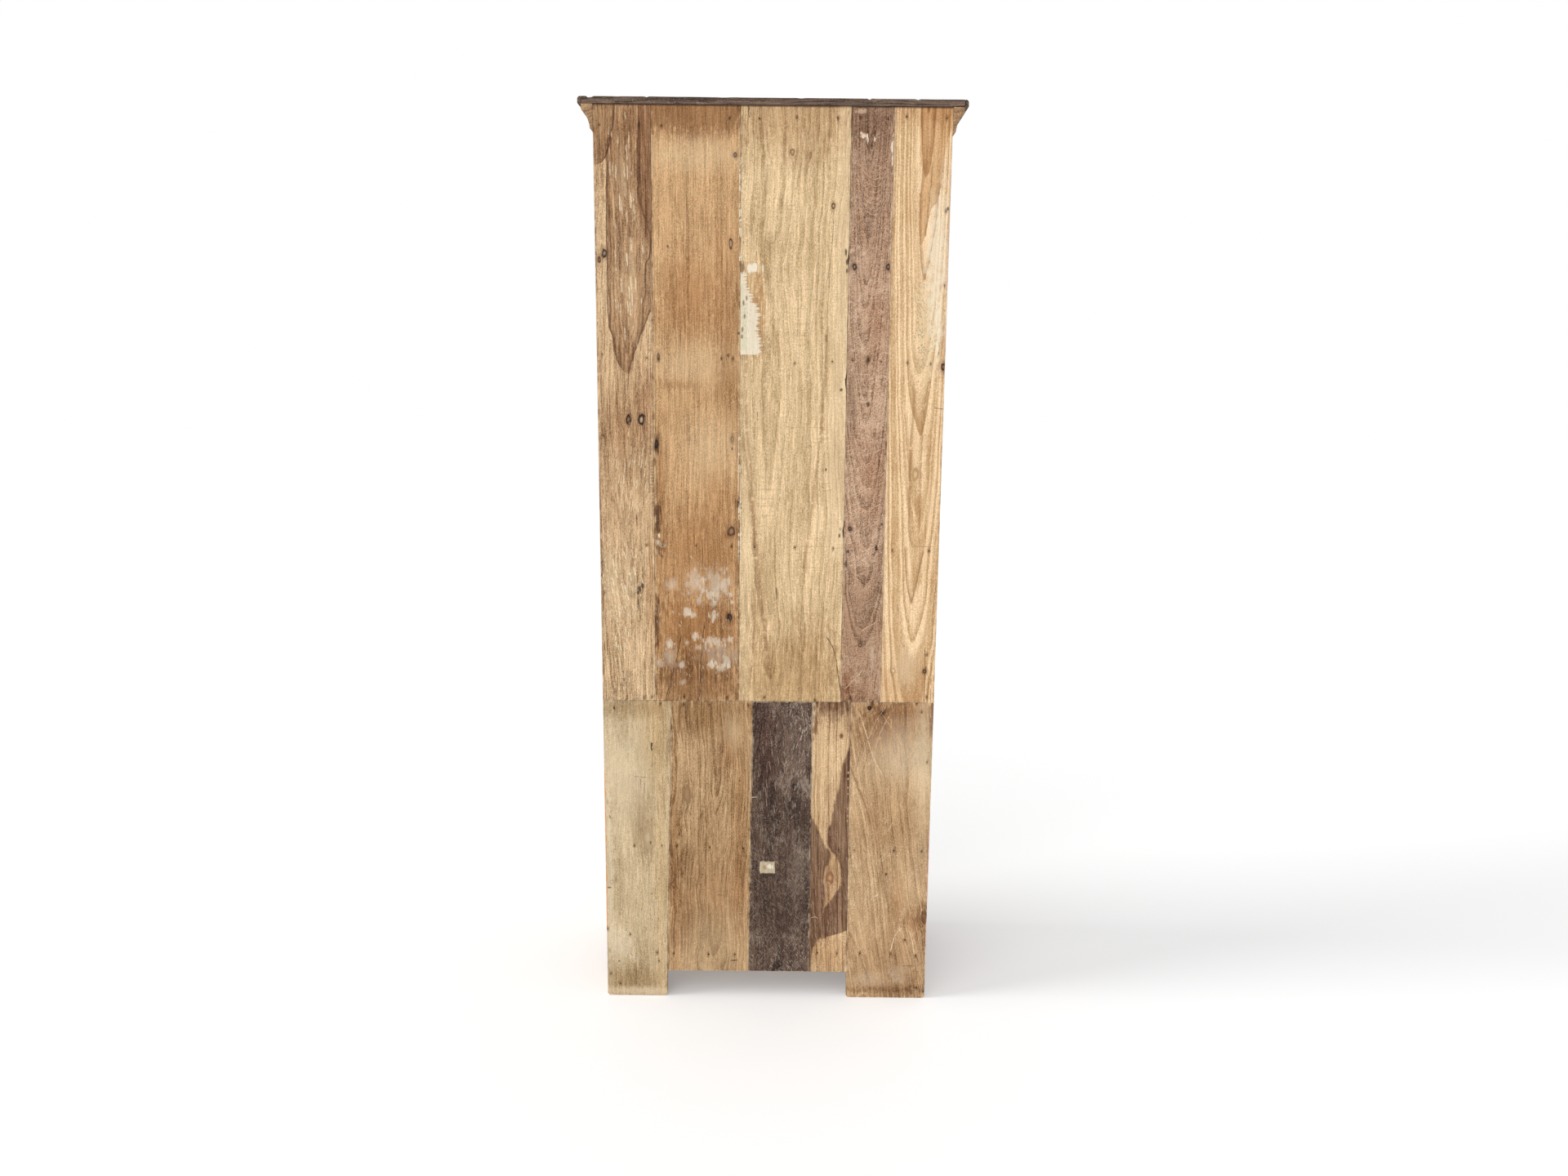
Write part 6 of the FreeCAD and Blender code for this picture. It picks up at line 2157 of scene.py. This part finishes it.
@dataclass
class Carcase:
    """The sides, shelves, face frame, cap and cornice."""

    dresser: Dresser
    iron: bpy.types.Material
    sides: tuple[tuple[str, Coat], ...] = (("left_side", ROSE), ("right_side", OCHRE))
    shelf_heights: tuple[float, ...] = (109.0, 363.0, 732.5, 1073.0, 1481.0)
    nail_rows: tuple[float, ...] = (-128.0, -52.0, 46.0, 118.0, 176.0)
    nail_x: float = 374.6
    cap_notches: tuple[Place3, ...] = (
        (380.0, 6.5, 8.0), (-200.0, 2.5, 5.0), (-301.0, 2.0, 6.0), (262.0, 1.6, 5.0))

    def build(self) -> list[bpy.types.Object]:
        """Makes the carcase's wooden pieces and the nails in its sides.

        Returns:
            The finished pieces.
        """
        made = []
        dress = self.dresser.dress
        for side, coat in self.sides:
            inside = (1.0, 0.0, 0.0) if side.startswith("left") else (-1.0, 0.0, 0.0)
            for plank in ("front_plank", "rear_plank"):
                made.append(dress(f"{side}_{plank}", "carcase", "carcase_paint",
                                  Dress(OLD_TEAK, coat=coat, bare=inside)))
        for shelf in ("upper_shelf", "middle_shelf", "waist_shelf", "lower_shelf", "bottom_board",
                      "rear_top_rail", "waist_rail"):
            made.append(dress(shelf, "carcase", "inner_wood", Dress(INNER_WOOD, Grain.ACROSS)))
        for stile in ("left_frame_stile", "right_frame_stile"):
            made.append(dress(stile, "carcase", "carcase_paint",
                              Dress(OLD_TEAK, coat=SAGE, bare=INWARDS)))
        for rail in ("front_top_rail", "front_apron"):
            made.append(dress(rail, "carcase", "carcase_paint",
                              Dress(OLD_TEAK, Grain.ACROSS, SAGE, INWARDS)))
        for part in ("cap_board", "cap_end_nosings"):
            grain = Grain.ACROSS if part == "cap_board" else Grain.FRONT_TO_BACK
            made.append(dress(part, "carcase", "cap_wood", Dress(
                GREY_WOOD, grain, edge=1.2, uneven=0.6, nicked=3.0,
                notches=self.cap_notches if part == "cap_board" else ())))
        for part in ("left_cornice", "right_cornice", "front_cornice"):
            grain = Grain.ACROSS if part == "front_cornice" else Grain.FRONT_TO_BACK
            made.append(dress(part, "carcase", "cornice_paint",
                              Dress(OLD_TEAK, grain, SLATE, INWARDS, 0.8, smooth=25.0)))
        for side, sign, facing in (("left", -1, Facing.TO_LEFT), ("right", 1, Facing.TO_RIGHT)):
            made.append(self.nails(side, sign, facing))
        return made

    def nails(self, side: str, sign: int, facing: Facing) -> bpy.types.Object:
        """Sets the nails through one side into the shelves.

        Args:
            side: The side's name.
            sign: Which side it is: -1 for lower X, 1 for higher.
            facing: Which way the nails' heads look.

        Returns:
            The finished piece.
        """
        spots = [Vector((sign * self.nail_x * MM, (y + 5 * math.sin(y + z)) * MM,
                         (z + 3 * math.sin(y * z)) * MM))
                 for z in self.shelf_heights for y in self.nail_rows]
        made = set_heads(f"{side}_side_nails", spots, Head(1.8, 0.8), self.iron, facing, 9 + sign)
        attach(made, "carcase")
        return made


@dataclass
class Door:
    """One framed door with three raised panels, and a knob that is given with its body."""

    dresser: Dresser
    side: str
    frame: Coat
    panels: Sequence[Coat]
    knob: tuple[str, str]
    panel_ridge: float = 26.0

    def build(self) -> list[bpy.types.Object]:
        """Makes the door's wooden pieces, riding on the door.

        Returns:
            The finished pieces.
        """
        body = f"{self.side}_door"
        made = []
        for stile in ("hinge_stile", "meeting_stile"):
            made.append(self.dresser.dress(f"{self.side}_{stile}", body, "door_paint",
                                           Dress(OLD_TEAK, coat=self.frame, bare=INWARDS)))
        for rail in ("top_rail", "upper_cross_rail", "lower_cross_rail", "bottom_rail"):
            made.append(self.dresser.dress(f"{self.side}_{rail}", body, "door_paint",
                                           Dress(OLD_TEAK, Grain.ACROSS, self.frame, INWARDS)))
        for panel, coat in zip(("top_panel", "middle_panel", "bottom_panel"), self.panels):
            made.append(self.dresser.dress(f"{self.side}_{panel}", body, "door_paint",
                                           Dress(OLD_TEAK, coat=coat, bare=INWARDS, edge=0.8,
                                                 ridge=self.panel_ridge)))
        knob, holder = self.knob
        made.append(self.dresser.dress(knob, holder, "knob_wood", Dress(
            KNOB_WOOD, Grain.FRONT_TO_BACK, edge=0.3, uneven=0.0, smooth=40.0)))
        return made


@dataclass
class Studio:
    """The pale floor, the soft lights and the camera where the photograph was taken from."""

    lens: float = 26.25
    eye: Place3 = (-0.0329, 2.7245, 1.4162)
    pitch: float = 9.787
    roll: float = 0.576
    floor_reach: float = 30.0

    def floor(self) -> None:
        """A wide pale floor that keeps the cupboard's shadow."""
        mesh = bpy.data.meshes.new("studio_floor")
        far = self.floor_reach
        mesh.from_pydata([(-far, -far, 0), (far, -far, 0), (far, far, 0), (-far, far, 0)], [],
                         [(0, 1, 2, 3)])
        material = bpy.data.materials.new("studio_floor")
        bench = fresh(material)
        bench.surface({
            "Base Color": (0.8, 0.8, 0.8, 1.0), "Roughness": 0.9, "Specular IOR Level": 0.0,
            "Emission Color": WHITE, "Emission Strength": bench.direct() * 0.225})
        new_object("studio_floor", mesh, material)

    def world(self) -> None:
        """Even soft light from all round, seen as white."""
        world = bpy.data.worlds.new("studio")
        bpy.context.scene.world = world
        bench = fresh(world)
        sky = bench.node("ShaderNodeBackground", {
            "Color": WHITE, "Strength": bench.fade(bench.direct(), 0.0, 1.0, 0.42, 1.0)})[0]
        bench.node("ShaderNodeOutputWorld", {"Surface": sky})

    def sun(self, name: str, source: Place3, strength: float, spread: float) -> None:
        """A wide soft lamp that lights the whole studio evenly.

        Args:
            name: Its name.
            source: The direction that its light comes from.
            strength: Its strength.
            spread: How wide it looks, in degrees.
        """
        data = bpy.data.lights.new(name, "SUN")
        data.energy = strength
        data.angle = math.radians(spread)
        made = bpy.data.objects.new(name, data)
        bpy.context.scene.collection.objects.link(made)
        made.rotation_mode = "QUATERNION"
        made.rotation_quaternion = (-Vector(source)).to_track_quat("-Z", "Y")

    def camera(self) -> None:
        """The camera, level with the upper half, looking down a little at the back."""
        data = bpy.data.cameras.new("photo_camera")
        data.lens = self.lens
        data.sensor_width = 36.0
        made = bpy.data.objects.new("photo_camera", data)
        bpy.context.scene.collection.objects.link(made)
        pitch, roll = math.radians(self.pitch), math.radians(self.roll)
        ahead = Vector((0.0, -math.cos(pitch), -math.sin(pitch)))
        right = Vector((-1.0, 0.0, 0.0))
        up = right.cross(ahead)
        image_right = right * math.cos(roll) + up * math.sin(roll)
        image_up = up * math.cos(roll) - right * math.sin(roll)
        turn = Matrix((image_right, image_up, -ahead)).transposed().to_4x4()
        made.matrix_world = Matrix.Translation(self.eye) @ turn
        bpy.context.scene.camera = made

    def build(self) -> None:
        """Sets up the whole studio."""
        self.floor()
        self.world()
        self.sun("key", (1.0, 0.14, 0.45), 2.1, 24.0)
        self.sun("back_light", (0.5, 1.0, 0.5), 1.16, 60.0)
        self.sun("front_fill", (-0.3, -0.6, 0.9), 0.75, 130.0)
        self.camera()
        bpy.context.scene.view_settings.view_transform = "Standard"


def main() -> None:
    """Builds the cupboard and the studio."""
    logging.basicConfig(level=logging.INFO, format="%(name)s: %(message)s")
    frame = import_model()
    effects = Effects()
    iron = Iron().material
    nodes = frame["nodes"]
    dresser = Dresser(effects, nodes)
    pieces = Back(effects, nodes, iron).build()
    pieces += Carcase(dresser, iron).build()
    for side, panels, knob in (("left", (OCHRE, SAGE, ROSE), ("left_knob", "left_door")),
                               ("right", (SEA, ROSE, OCHRE), ("latch_knob", "turn_latch"))):
        pieces += Door(dresser, side, IVORY, panels, knob).build()
    for node in nodes.values():
        if not node.hide_render:
            node.data.materials.clear()
            node.data.materials.append(iron)
    Studio().build()
    log.info("%d pieces made", len(pieces))


if __name__ == "__main__":
    main()
